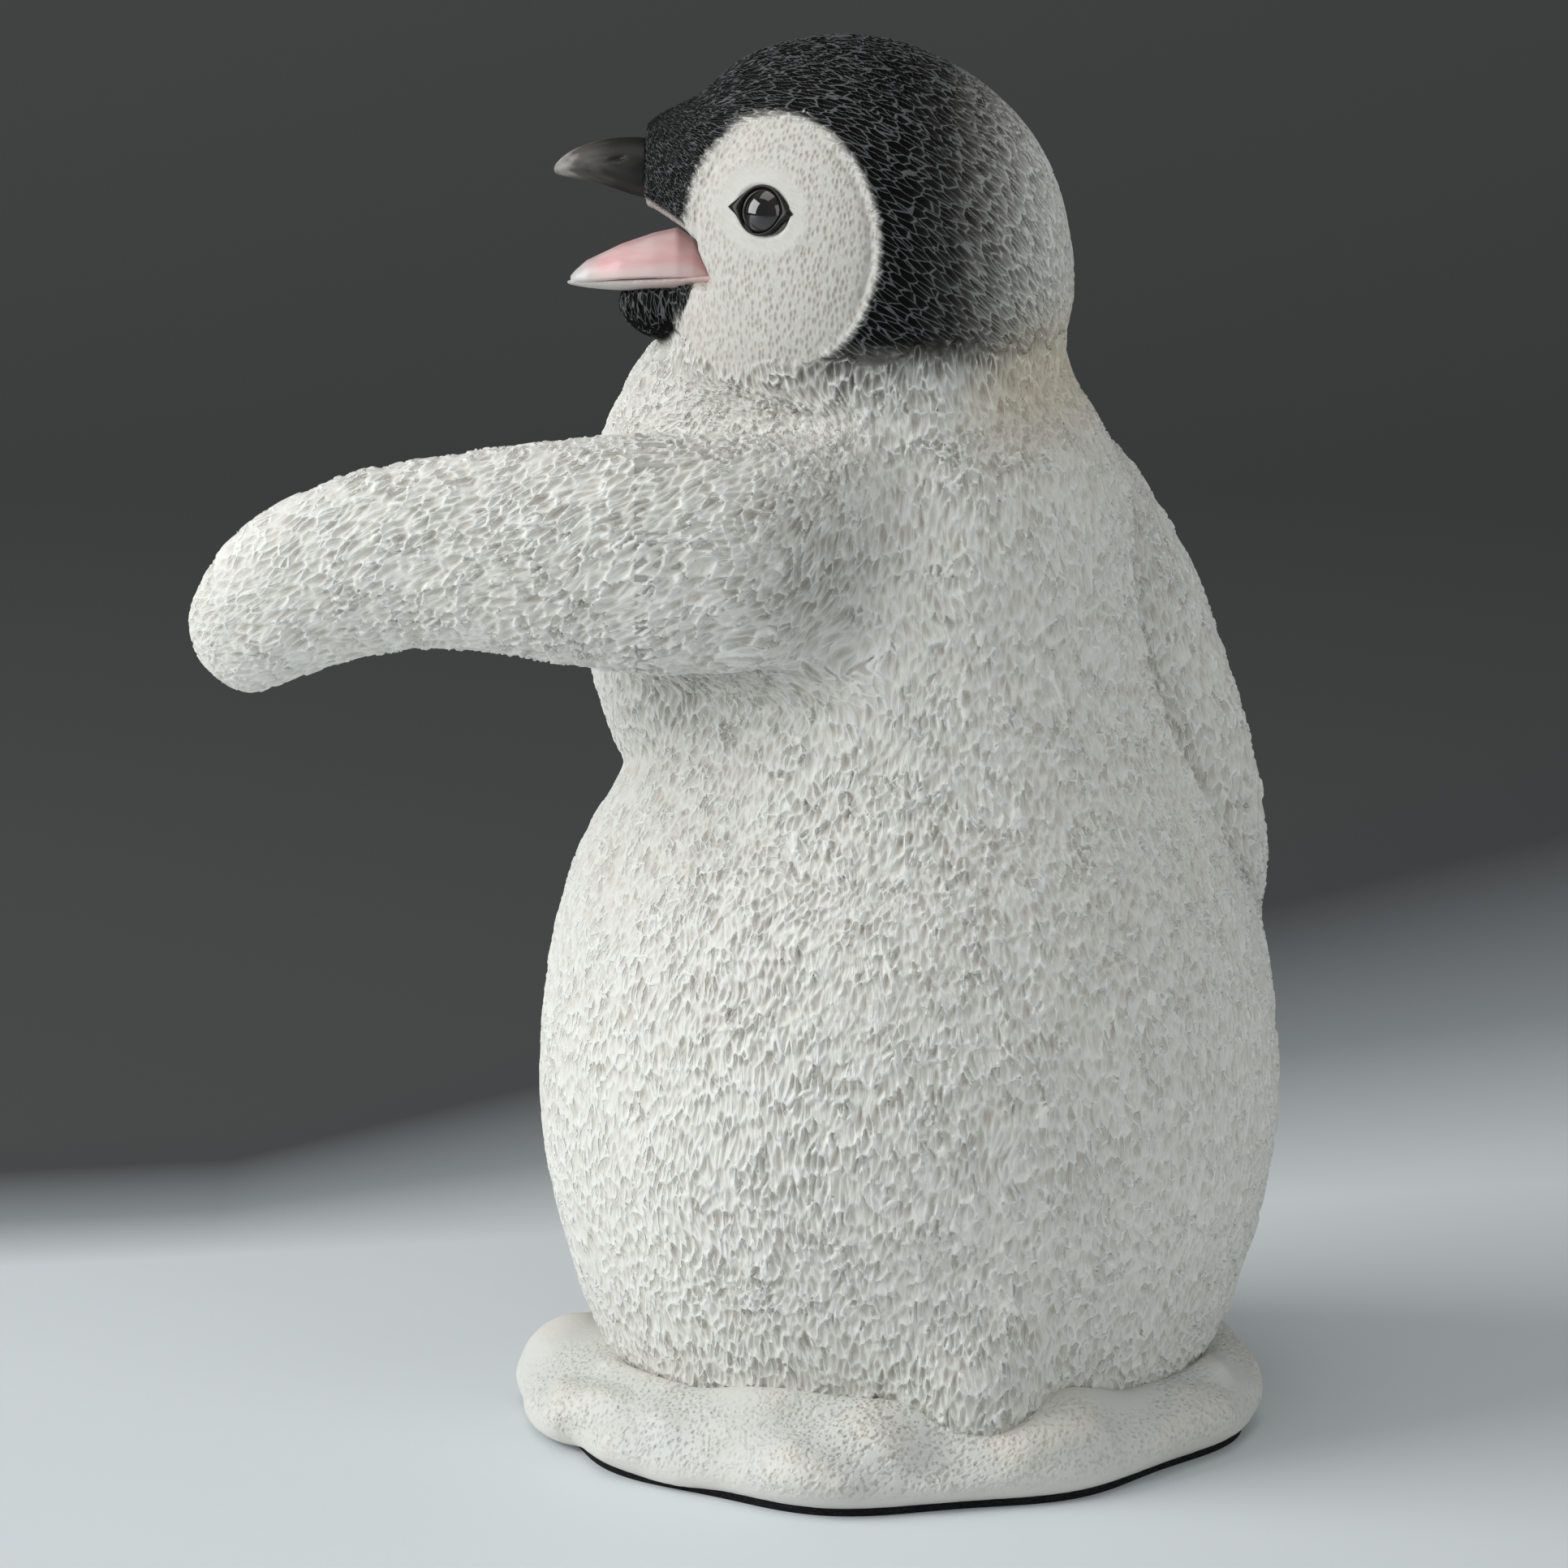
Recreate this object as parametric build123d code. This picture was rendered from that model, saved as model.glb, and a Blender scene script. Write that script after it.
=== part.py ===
from build123d import *
import os
from math import cos, pi, sin

# Cast resin ornament of a penguin chick on a snow base: hollow torso, solid head, pinned flippers, feet,
# bill, tongue, glass eyes, base with its plug and dowels, and felt underneath.
# Millimetres, +Z up. The origin is on the felt's underside. The belly and feet face -Y, and +X is the
# figure's left, the side that the bill and the raised flipper point to.

# Clearances
GLUE_GAP = 0.15
PIN_GAP = 0.1
PIN_END_GAP = 0.3

# Felt and snow base
FELT_THICKNESS = 1.2
FELT_INSET = 1.9
BASE_WIDTH = 124.5
BASE_DEPTH = 132.0
BASE_SHIFT_X = 3.2
BASE_SHIFT_Y = 2.0
BASE_PINCH = 9.0
BASE_PINCH_POWER = 0.7
BASE_HEIGHT = 13.0
BASE_LOBES = 9
BASE_LOBE_DEPTH = 1.3
BASE_SWELLS = 4
BASE_SWELL_DEPTH = 0.9
BASE_SWELL_TURN = 1.0
BASE_OUTLINE_POINTS = 54
DISH_MARGIN = 3.0
DISH_FLARE = 3.0
DISH_DEPTH = 2.6
SEAT_HEIGHT = 8.8

# Torso: the belly, the chest in front of it and the tail tuft behind it
TORSO_HEIGHT = 169.0
BELLY_WIDTH = 121.2
BELLY_DEPTH = 117.0
BELLY_X = -4.0
BELLY_Y = -4.0
TORSO_WALL = 9.0
TORSO_FLOOR = 12.0
CAVITY_TOP_WIDTH = 40.0
CHEST_WIDTH = 68.0
CHEST_DEPTH = 64.0
CHEST_HEIGHT = 100.0
CHEST_SHIFT_X = 19.5
CHEST_SHIFT_Y = -3.0
CHEST_DROP = 40.0
TAIL_WIDTH = 25.0
TAIL_DEPTH = 20.0
TAIL_HEIGHT = 34.0
TAIL_SHIFT_X = -10.0
TAIL_INSET = 11.5
TAIL_RISE = 13.0

# Neck joint
NECK_WIDTH = 63.4
NECK_DEPTH = 62.0
NECK_SHIFT_X = 7.0
NECK_SHIFT_Y = 4.0
COLLAR_HEIGHT = 13.0
COLLAR_TAPER = 2.4
SPIGOT_DIAMETER = 26.0
SPIGOT_LENGTH = 12.0

# Head, measured along X from the nape to the face
NAPE_SETBACK = 32.7
HEAD_LENGTH = 68.2
HEAD_HEIGHT = 74.6
HEAD_WIDTH = 66.0
HEAD_RISE = 11.5
CHIN_LENGTH = 22.0
CHIN_WIDTH = 15.0
CHIN_HEIGHT = 13.0
CHIN_SETBACK = 6.5
CHIN_RISE = 6.2

# Mouth and bill
MOUTH_LENGTH = 11.1
MOUTH_RISE = 11.4
GAPE_RUN = 3.7
GAPE_RISE = 7.8
PALATE_RUN = 6.6
PALATE_RISE = 3.7
MOUTH_REACH = 40.0
JAW_DROOP = 4.2
BILL_LIP = 1.0
UPPER_BILL_LENGTH = 15.1
UPPER_BILL_WIDTH = 13.0
UPPER_BILL_HEIGHT = 9.6
UPPER_BILL_RISE = 27.9
BILL_PEG_DIAMETER = 5.0
BILL_PEG_LENGTH = 6.0
LOWER_BILL_LENGTH = 27.8
LOWER_BILL_WIDTH = 16.0
LOWER_BILL_DEPTH = 3.4
LOWER_BILL_TUCK = 3.5
TONGUE_LENGTH = 21.5
TONGUE_WIDTH = 11.0
TONGUE_HEIGHT = 6.6

# Glass eyes
EYE_DIAMETER = 8.6
EYE_GIRDLE = 2.6
EYE_DOME = 2.5
EYE_DEPTH = 3.2
EYE_SETBACK = 18.3
EYE_RISE = 24.4

# Flippers and their pins
LEFT_FLIPPER_BREADTH = 38.0
LEFT_FLIPPER_THICKNESS = 18.0
RIGHT_FLIPPER_BREADTH = 32.0
RIGHT_FLIPPER_THICKNESS = 13.0
TIP_CAP_LENGTH = 2.4
TIP_CAP_SHARE = 0.94
LEFT_OUTWARD = (0.1, 1, 0)
RIGHT_OUTWARD = (-1, -0.35, 0.1)
FLIPPER_PIN_DIAMETER = 3.0
FLIPPER_PIN_LENGTH = 22.0
FLIPPER_PIN_COVER = 2.6
LEFT_PIN_AT = 0.2
RIGHT_PIN_AT = 0.24

# Feet
FOOT_SPREAD = 17.0
FOOT_TUCK = 13.0
FOOT_SINK = 1.5
TOE_LENGTH = 23.0
TOE_WIDTH = 9.5
TOE_HEIGHT = 7.0
TOE_ANGLE = 24.0
HEEL_LENGTH = 14.0
CLAW_LENGTH = 3.0
CLAW_DIAMETER = 3.4
CLAW_TIP_DIAMETER = 1.1

# Dowels and plug between torso and base
BASE_PIN_DIAMETER = 5.0
BASE_PIN_DEPTH = 6.5
BASE_PIN_SPACING = 56.0
POUR_HOLE_DIAMETER = 24.0
PLUG_FLANGE_DIAMETER = 30.0
PLUG_FLANGE_HEIGHT = 2.0

# Drawing aids: points on an oval, and the reach of a block that only trims
OVAL_POINTS = 16
TRIM_REACH = 680.0

# Levels and places that the pieces share
SEAT_Z = FELT_THICKNESS + SEAT_HEIGHT
FOOT_Z = SEAT_Z - FOOT_SINK
BASE_TOP_Z = FELT_THICKNESS + BASE_HEIGHT
BASE_CENTRE_X = BELLY_X + BASE_SHIFT_X
BASE_CENTRE_Y = BELLY_Y + BASE_SHIFT_Y
BELLY_BACK_Y = BELLY_Y + BELLY_DEPTH / 2
BELLY_RIGHT_X = BELLY_X - BELLY_WIDTH / 2
NECK_X = BELLY_X + NECK_SHIFT_X
NECK_Y = BELLY_Y + NECK_SHIFT_Y
NECK_Z = SEAT_Z + TORSO_HEIGHT
HEAD_BACK_X = NECK_X - NAPE_SETBACK
HEAD_FRONT_X = HEAD_BACK_X + HEAD_LENGTH
MOUTH_CORNER_X = HEAD_FRONT_X - MOUTH_LENGTH
RIM_Z = NECK_Z + MOUTH_RISE
BILL_ROOT_Z = NECK_Z + UPPER_BILL_RISE

# Snow base cross-sections: height share, outline share
BASE_STATIONS = ((0.0, 0.955), (0.2, 0.995), (0.5, 1.0), (0.78, 0.968), (0.94, 0.91), (1.0, 0.86))

# Torso cross-sections: height share, share of the belly's width and depth, shift of the centre in x and in y
TORSO_STATIONS = (
    (0.000, 0.790, 0.0, 0.0), (0.095, 0.920, 0.0, 0.0), (0.183, 0.980, 0.0, 0.0),
    (0.278, 1.000, 0.0, 0.0), (0.373, 0.977, 0.0, 0.0), (0.467, 0.917, 0.0, 0.5),
    (0.538, 0.830, -0.1, 1.0), (0.604, 0.740, -0.5, 2.0), (0.686, 0.660, -0.5, 3.5),
    (0.781, 0.620, 0.5, 4.5), (0.870, 0.595, 2.0, 4.5), (0.935, 0.555, 5.0, 4.2),
)

# Torso cross-sections that the core follows, and the one at the level of its top
CORE_STATIONS = TORSO_STATIONS[2:6]
CORE_TOP_STATION = TORSO_STATIONS[7]

# Head cross-sections: length share, height share, width share, rise of the centre
HEAD_STATIONS = (
    (0.000, 0.080, 0.090, -1.5), (0.032, 0.338, 0.340, -0.5), (0.142, 0.673, 0.680, 0.0),
    (0.333, 0.920, 0.930, 0.0), (0.523, 1.000, 1.000, 0.0), (0.700, 0.955, 0.890, 0.0),
    (0.860, 0.640, 0.580, 7.5), (1.000, 0.360, 0.270, 10.2),
)

# Bill and tongue cross-sections: length share, height share, width share; the upper bill's centre also rises
UPPER_BILL_STATIONS = (
    (0.0, 1.0, 1.0, 0.0), (0.35, 0.84, 0.8, 0.7), (0.7, 0.57, 0.52, 0.8), (0.93, 0.28, 0.26, 0.1),
    (1.0, 0.1, 0.1, -0.3),
)
LOWER_BILL_STATIONS = (
    (0.0, 1.0, 1.0), (0.35, 0.95, 0.9), (0.7, 0.62, 0.58), (0.92, 0.34, 0.26), (1.0, 0.16, 0.08),
)
TONGUE_STATIONS = (
    (0.03, 0.1, 0.7), (0.14, 0.6, 0.95), (0.28, 0.93, 1.0), (0.48, 0.96, 0.9), (0.7, 0.76, 0.62),
    (0.9, 0.34, 0.3), (1.0, 0.06, 0.12),
)

# Raised flipper's middle line: distance left of the belly's axis, inset from its back, drop from the neck
LEFT_FLIPPER_POINTS = (
    (6, 28.5, 29), (28, 18.5, 28.5), (50, 20, 29), (70, 23.5, 30), (88, 27, 32.6), (100.5, 29.5, 38.6),
    (109.2, 31.5, 50),
)

# Folded flipper's middle line: inset from the belly's right side, shift from its axis, drop from the neck
RIGHT_FLIPPER_POINTS = (
    (39.6, -5, 17), (27.6, -7, 31), (19.1, -8, 48), (12.1, -8, 66), (7.6, -7, 83), (5.6, -5, 97),
)

# Flipper cross-sections: place along the path, breadth share, thickness share
FLIPPER_STATIONS = (
    (0.00, 0.62, 0.60), (0.20, 1.00, 1.00), (0.42, 0.96, 0.98), (0.60, 0.85, 0.88), (0.76, 0.76, 0.77),
    (0.88, 0.66, 0.66), (0.95, 0.53, 0.53), (0.985, 0.35, 0.35),
)


def oval(plane, half_x, half_y):
    """Face of a smooth oval in the plane, with its first point always on the plane's x axis."""
    turns = [2 * pi * i / OVAL_POINTS for i in range(OVAL_POINTS)]
    points = [plane.from_local_coords((half_x * cos(a), half_y * sin(a), 0)) for a in turns]
    return make_face(Spline(*points, periodic=True))


def level_oval(x, y, z, width, depth):
    """Horizontal oval of the given width and depth, centred at a point."""
    return oval(Plane((x, y, z)), width / 2, depth / 2)


def upright_oval(x, y, z, height, width):
    """Oval across the X axis, of the given height and width."""
    return oval(Plane((x, y, z), x_dir=(0, 0, 1), z_dir=(1, 0, 0)), height / 2, width / 2)


def ellipsoid(centre, width, depth, height):
    """Ellipsoid of the given full sizes about a centre."""
    return Pos(*centre) * scale(Sphere(0.5), by=(width, depth, height))


def slab(low_z, high_z):
    """Wide block that fills the space between two levels."""
    return Pos(0, 0, (low_z + high_z) / 2) * Box(TRIM_REACH, TRIM_REACH, high_z - low_z)


def above(level):
    """Space above a level, tall enough for the whole figure."""
    return slab(level, level + TRIM_REACH)


def dowel(centre, direction, diameter, length):
    """Round bar about a centre, along a direction."""
    return Plane(centre, z_dir=direction) * Cylinder(diameter / 2, length)


def torso_station(share, width_share, shift_x, shift_y, grow):
    """Torso cross-section, enlarged all round by grow."""
    return level_oval(BELLY_X + shift_x, BELLY_Y + shift_y, SEAT_Z + share * TORSO_HEIGHT,
                      width_share * BELLY_WIDTH + 2 * grow, width_share * BELLY_DEPTH + 2 * grow)


def seat_size(grow=0.0):
    """Width and depth of the torso where it sits on the base, enlarged all round by grow."""
    share = TORSO_STATIONS[0][1]
    return share * BELLY_WIDTH + 2 * grow, share * BELLY_DEPTH + 2 * grow


def torso_form(grow=0.0):
    """Outer form of the torso from its seat to the neck joint, enlarged all round by grow."""
    sections = [torso_station(*station, grow) for station in TORSO_STATIONS]
    sections.append(level_oval(NECK_X, NECK_Y, NECK_Z, NECK_WIDTH + 2 * grow, NECK_DEPTH + 2 * grow))
    chest = ellipsoid((BELLY_X + CHEST_SHIFT_X, BELLY_Y + CHEST_SHIFT_Y, NECK_Z - CHEST_DROP),
                      CHEST_WIDTH + 2 * grow, CHEST_DEPTH + 2 * grow, CHEST_HEIGHT + 2 * grow)
    tail = ellipsoid((BELLY_X + TAIL_SHIFT_X, BELLY_BACK_Y - TAIL_INSET, SEAT_Z + TAIL_RISE),
                     TAIL_WIDTH + 2 * grow, TAIL_DEPTH + 2 * grow, TAIL_HEIGHT + 2 * grow)
    return (loft(sections) + chest + tail) & slab(SEAT_Z, NECK_Z)


def belly_cavity():
    """Hollow left by the core, from the torso's floor to below the chest."""
    width, depth = seat_size(-TORSO_WALL)
    top_z = SEAT_Z + CORE_TOP_STATION[0] * TORSO_HEIGHT
    sections = [level_oval(BELLY_X, BELLY_Y, SEAT_Z + TORSO_FLOOR, width, depth)]
    sections += [torso_station(*station, -TORSO_WALL) for station in CORE_STATIONS]
    sections.append(level_oval(BELLY_X, BELLY_Y, top_z, CAVITY_TOP_WIDTH, CAVITY_TOP_WIDTH))
    return loft(sections)


def head_form():
    """Outer form of the head with its chin and the collar that meets the neck, before the mouth is cut."""
    centre_z = NECK_Z + HEAD_RISE
    skull = loft([upright_oval(HEAD_BACK_X + along * HEAD_LENGTH, NECK_Y, centre_z + rise,
                               tall * HEAD_HEIGHT, wide * HEAD_WIDTH)
                  for along, tall, wide, rise in HEAD_STATIONS])
    collar = loft([level_oval(NECK_X, NECK_Y, NECK_Z + side * COLLAR_HEIGHT, NECK_WIDTH - side * COLLAR_TAPER,
                              NECK_DEPTH - side * COLLAR_TAPER) for side in (-1, 1)])
    chin = ellipsoid((HEAD_FRONT_X - CHIN_SETBACK, NECK_Y, NECK_Z + CHIN_RISE),
                     CHIN_LENGTH, CHIN_WIDTH, CHIN_HEIGHT)
    return (skull + collar + chin) & above(NECK_Z)


def jaw_plane():
    """Plane of the lower bill's rim, drooping forward from the corner of the mouth."""
    droop = JAW_DROOP * pi / 180
    return Plane((MOUTH_CORNER_X, NECK_Y, RIM_Z), x_dir=(cos(droop), 0, -sin(droop)),
                 z_dir=(sin(droop), 0, cos(droop)))


def mouth_opening():
    """Wedge of the open mouth, from its corner forward."""
    gape = (MOUTH_CORNER_X + GAPE_RUN, RIM_Z + GAPE_RISE)
    palate = (gape[0] + PALATE_RUN, gape[1] + PALATE_RISE)
    jaw_front = jaw_plane().from_local_coords((MOUTH_REACH, 0, -BILL_LIP))
    jaw_back = jaw_plane().from_local_coords((0, 0, -BILL_LIP))
    side = Plane.XZ * make_face(Polyline((MOUTH_CORNER_X, RIM_Z), gape, palate, (jaw_front.X, palate[1]),
                                         (jaw_front.X, jaw_front.Z), (jaw_back.X, jaw_back.Z), close=True))
    return Pos(0, NECK_Y, 0) * extrude(side, HEAD_WIDTH, both=True)


def upper_bill():
    """Upper half of the bill, arched along its ridge, with the peg that holds it in the face."""
    bill = loft([upright_oval(HEAD_FRONT_X + along * UPPER_BILL_LENGTH, NECK_Y, BILL_ROOT_Z + rise,
                              tall * UPPER_BILL_HEIGHT, wide * UPPER_BILL_WIDTH)
                 for along, tall, wide, rise in UPPER_BILL_STATIONS])
    return bill + bill_peg(BILL_PEG_DIAMETER, BILL_PEG_LENGTH)


def bill_peg(diameter, length):
    """Round bar from the upper bill's root back into the face."""
    return dowel((HEAD_FRONT_X - length / 2, NECK_Y, BILL_ROOT_Z), (1, 0, 0), diameter, length)


def bill_peg_hole():
    """Hole in the face for the upper bill's peg."""
    return bill_peg(BILL_PEG_DIAMETER + 2 * PIN_GAP, BILL_PEG_LENGTH + PIN_END_GAP)


def lower_bill(grow=0.0):
    """Lower half of the bill, flat on top and keeled below, enlarged all round by grow except on top."""
    keel = loft([upright_oval(along * (LOWER_BILL_LENGTH + 2 * grow) - LOWER_BILL_TUCK - grow, 0, 0,
                              2 * deep * LOWER_BILL_DEPTH + 2 * grow, wide * LOWER_BILL_WIDTH + 2 * grow)
                 for along, deep, wide in LOWER_BILL_STATIONS])
    return jaw_plane() * (keel - above(0))


def lower_bill_socket():
    """Recess for the lower bill in the chin and behind the corners of the mouth."""
    tuck = Pos(-LOWER_BILL_TUCK / 2, 0, 0) * Box(
        LOWER_BILL_TUCK + 2 * GLUE_GAP, LOWER_BILL_WIDTH + 2 * GLUE_GAP, 2 * GLUE_GAP)
    return lower_bill(GLUE_GAP) + jaw_plane() * tuck


def tongue():
    """Tongue that swells from the corner of the mouth and lies on the lower bill."""
    body = loft([upright_oval(GLUE_GAP + along * TONGUE_LENGTH, 0, 0, 2 * tall * TONGUE_HEIGHT,
                              wide * TONGUE_WIDTH) for along, tall, wide in TONGUE_STATIONS])
    return jaw_plane() * (body & above(0))


def eye_place(head, side):
    """Plane on the floor of an eye socket, facing out of the head; side is 1 for left and -1 for right."""
    line = Axis((HEAD_FRONT_X - EYE_SETBACK, NECK_Y, NECK_Z + EYE_RISE), (0, side, 0))
    surface, outward = max(head.find_intersection_points(line), key=lambda hit: side * hit[0].Y)
    return Plane(surface - outward * EYE_DEPTH, z_dir=outward)


def eye(place):
    """Glass cabochon: a flat back, a round girdle and a domed front."""
    radius = EYE_DIAMETER / 2
    top = EYE_GIRDLE + EYE_DOME
    dome_radius = (radius ** 2 + EYE_DOME ** 2) / (2 * EYE_DOME)
    barrel = Pos(0, 0, top / 2) * Cylinder(radius, top)
    return place * (barrel & Pos(0, 0, top - dome_radius) * Sphere(dome_radius))


def eye_socket(place):
    """Flat-floored pocket for a glass eye, open to the outside."""
    deep = EYE_DEPTH + EYE_DIAMETER
    return place * Pos(0, 0, deep / 2) * Cylinder(EYE_DIAMETER / 2 + GLUE_GAP, deep)


def left_flipper_path():
    """Middle line of the raised flipper, from inside the left shoulder to the tip."""
    return Spline(*[(BELLY_X + left, BELLY_BACK_Y - inset, NECK_Z - drop)
                    for left, inset, drop in LEFT_FLIPPER_POINTS])


def right_flipper_path():
    """Middle line of the folded flipper, from inside the right shoulder to the tip."""
    return Spline(*[(BELLY_RIGHT_X + inset, BELLY_Y + shift, NECK_Z - drop)
                    for inset, shift, drop in RIGHT_FLIPPER_POINTS])


def flipper_form(path, outward, breadth, thickness):
    """Whole flipper along its path, flat side facing outward, with its root reaching into the torso."""
    sections = []
    for along, broad, thick in FLIPPER_STATIONS:
        run = path % along
        across = run.cross(Vector(*outward)).normalized()
        plane = Plane(path @ along, x_dir=across, z_dir=run)
        sections.append(oval(plane, broad * breadth / 2, thick * thickness / 2))
    cap = plane * scale(Sphere(TIP_CAP_SHARE / 2), by=(broad * breadth, thick * thickness, 2 * TIP_CAP_LENGTH))
    return loft(sections) + cap


def flipper_pin_place(path, outward, thickness, along):
    """Middle and direction of a flipper's pin, which runs from below the flipper's skin into the torso."""
    direction = Vector(*outward).normalized()
    outer_end = thickness / 2 - FLIPPER_PIN_COVER
    return path @ along + direction * (outer_end - FLIPPER_PIN_LENGTH / 2), direction


def largest(shape):
    """The largest solid of a shape."""
    return shape.solids().sort_by(SortBy.VOLUME)[-1]


def toe(heel, angle, grow):
    """One toe with its claw, an elongated swelling from the heel outward."""
    ahead = Vector(sin(angle), -cos(angle), 0)
    along = Plane(heel + ahead * (TOE_LENGTH / 2), x_dir=ahead, z_dir=(0, 0, 1))
    swelling = along * ellipsoid((0, 0, 0), TOE_LENGTH + 2 * grow, TOE_WIDTH + 2 * grow,
                                 2 * (TOE_HEIGHT + grow))
    claw = Plane(heel + ahead * TOE_LENGTH + Vector(0, 0, CLAW_DIAMETER / 2), z_dir=ahead) * Cone(
        CLAW_DIAMETER / 2 + grow, CLAW_TIP_DIAMETER / 2 + grow, 2 * (CLAW_LENGTH + grow))
    return swelling + claw


def foot(side, grow=0.0):
    """Foot of three toes, flat underneath, enlarged all round by grow except underneath."""
    seat_depth = seat_size()[1]
    heel = Vector(BELLY_X + side * FOOT_SPREAD, BELLY_Y - seat_depth / 2 + FOOT_TUCK, FOOT_Z)
    spread = TOE_ANGLE * pi / 180
    toes = [toe(heel, turn * spread, grow) for turn in (-1, 0, 1)]
    pad = ellipsoid(heel, HEEL_LENGTH + 2 * grow, HEEL_LENGTH + 2 * grow, 2 * (TOE_HEIGHT + grow))
    return (pad + toes[0] + toes[1] + toes[2]) & above(FOOT_Z)


def base_outline(z, share, inset=0.0):
    """Lobed outline of the snow base at a level, shrunk to a share of its full size and then inset."""
    points = []
    for i in range(BASE_OUTLINE_POINTS):
        turn = 2 * pi * i / BASE_OUTLINE_POINTS
        lobe = BASE_LOBE_DEPTH * (cos(BASE_LOBES * turn) - 1)
        swell = BASE_SWELL_DEPTH * (cos(BASE_SWELLS * turn + BASE_SWELL_TURN) - 1)
        pinch = BASE_PINCH * abs(sin(2 * turn)) ** BASE_PINCH_POWER if sin(turn) < 0 else 0
        grow = lobe + swell - pinch - inset
        points.append((BASE_CENTRE_X + share * (BASE_WIDTH / 2 + grow) * cos(turn),
                       BASE_CENTRE_Y + share * (BASE_DEPTH / 2 + grow) * sin(turn), z))
    return make_face(Spline(*points, periodic=True))


def snow_base_form():
    """Rounded, lobed mass of snow with a shallow dish round the torso."""
    mass = loft([base_outline(FELT_THICKNESS + level * BASE_HEIGHT, share) for level, share in BASE_STATIONS])
    floor = level_oval(BELLY_X, BELLY_Y, BASE_TOP_Z - DISH_DEPTH, *seat_size(DISH_MARGIN))
    mouth = level_oval(BELLY_X, BELLY_Y, BASE_TOP_Z + DISH_DEPTH, *seat_size(DISH_MARGIN + 2 * DISH_FLARE))
    return mass - loft([floor, mouth])


def base_pin_places():
    """Middle points of the two dowels, on the seat's level."""
    return [(BELLY_X + side * BASE_PIN_SPACING / 2, BELLY_Y, SEAT_Z) for side in (-1, 1)]


def base_pin_holes():
    """Holes for both dowels, with room at their ends."""
    holes = [dowel(place, (0, 0, 1), BASE_PIN_DIAMETER + 2 * PIN_GAP, 2 * (BASE_PIN_DEPTH + PIN_END_GAP))
             for place in base_pin_places()]
    return holes[0] + holes[1]


def disc(low_z, high_z, diameter):
    """Upright disc on the belly's axis, between two levels."""
    return Pos(BELLY_X, BELLY_Y, (low_z + high_z) / 2) * Cylinder(diameter / 2, high_z - low_z)


def pour_hole():
    """Hole through the torso's floor and the base, with the recess for the plug's flange."""
    shaft = disc(FELT_THICKNESS, SEAT_Z + TORSO_FLOOR, POUR_HOLE_DIAMETER)
    flange = disc(FELT_THICKNESS, FELT_THICKNESS + PLUG_FLANGE_HEIGHT, PLUG_FLANGE_DIAMETER)
    return shaft + flange


def fill_plug():
    """Stepped plug in the base, flush with its underside."""
    shaft = disc(FELT_THICKNESS, SEAT_Z - PIN_END_GAP, POUR_HOLE_DIAMETER - 2 * PIN_GAP)
    flange = disc(FELT_THICKNESS, FELT_THICKNESS + PLUG_FLANGE_HEIGHT - PIN_END_GAP,
                  PLUG_FLANGE_DIAMETER - 2 * PIN_GAP)
    return shaft + flange


def neck_spigot(diameter, length):
    """Upright disc that hangs from the neck joint into the torso."""
    return Pos(NECK_X, NECK_Y, NECK_Z - length / 2) * Cylinder(diameter / 2, length)


def build():
    """All pieces of the figurine, by name."""
    feet = {"left_foot": foot(1), "right_foot": foot(-1)}
    feet_room = foot(1, GLUE_GAP) + foot(-1, GLUE_GAP)
    grown_torso = torso_form(GLUE_GAP)
    pins = {}
    pin_holes = {}
    flippers = {}
    for name, path, outward, breadth, thickness, along in (
            ("left_flipper", left_flipper_path(), LEFT_OUTWARD,
             LEFT_FLIPPER_BREADTH, LEFT_FLIPPER_THICKNESS, LEFT_PIN_AT),
            ("right_flipper", right_flipper_path(), RIGHT_OUTWARD,
             RIGHT_FLIPPER_BREADTH, RIGHT_FLIPPER_THICKNESS, RIGHT_PIN_AT)):
        middle, direction = flipper_pin_place(path, outward, thickness, along)
        pins[name + "_pin"] = dowel(middle, direction, FLIPPER_PIN_DIAMETER, FLIPPER_PIN_LENGTH)
        pin_holes[name] = dowel(middle, direction, FLIPPER_PIN_DIAMETER + 2 * PIN_GAP,
                                FLIPPER_PIN_LENGTH + 2 * PIN_END_GAP)
        form = flipper_form(path, outward, breadth, thickness)
        flippers[name] = largest(form - grown_torso) - pin_holes[name]

    spigot = neck_spigot(SPIGOT_DIAMETER, SPIGOT_LENGTH)
    spigot_socket = neck_spigot(SPIGOT_DIAMETER + 2 * PIN_GAP, SPIGOT_LENGTH + PIN_END_GAP)
    torso = torso_form() - belly_cavity() - pour_hole() - base_pin_holes() - feet_room - spigot_socket
    for hole in pin_holes.values():
        torso = torso - hole

    skull = head_form()
    eye_places = {"left_eye": eye_place(skull, 1), "right_eye": eye_place(skull, -1)}
    head = skull - mouth_opening() - lower_bill_socket() - bill_peg_hole() + spigot
    for place in eye_places.values():
        head = head - eye_socket(place)

    torso_seat = grown_torso & slab(SEAT_Z, BASE_TOP_Z + BASE_HEIGHT)
    base = snow_base_form() - torso_seat - feet_room - base_pin_holes() - pour_hole()
    felt = extrude(base_outline(0, 1.0, FELT_INSET), FELT_THICKNESS)
    base_pins = Compound([dowel(place, (0, 0, 1), BASE_PIN_DIAMETER, 2 * BASE_PIN_DEPTH)
                          for place in base_pin_places()])
    pieces = {"torso": torso, "head": head, "upper_bill": upper_bill(), "lower_bill": lower_bill(),
              "tongue": tongue(), "snow_base": base, "base_pins": base_pins, "fill_plug": fill_plug(),
              "felt_pad": felt}
    pieces.update({name: eye(place) for name, place in eye_places.items()})
    pieces.update(flippers)
    pieces.update(pins)
    pieces.update(feet)
    return pieces


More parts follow.
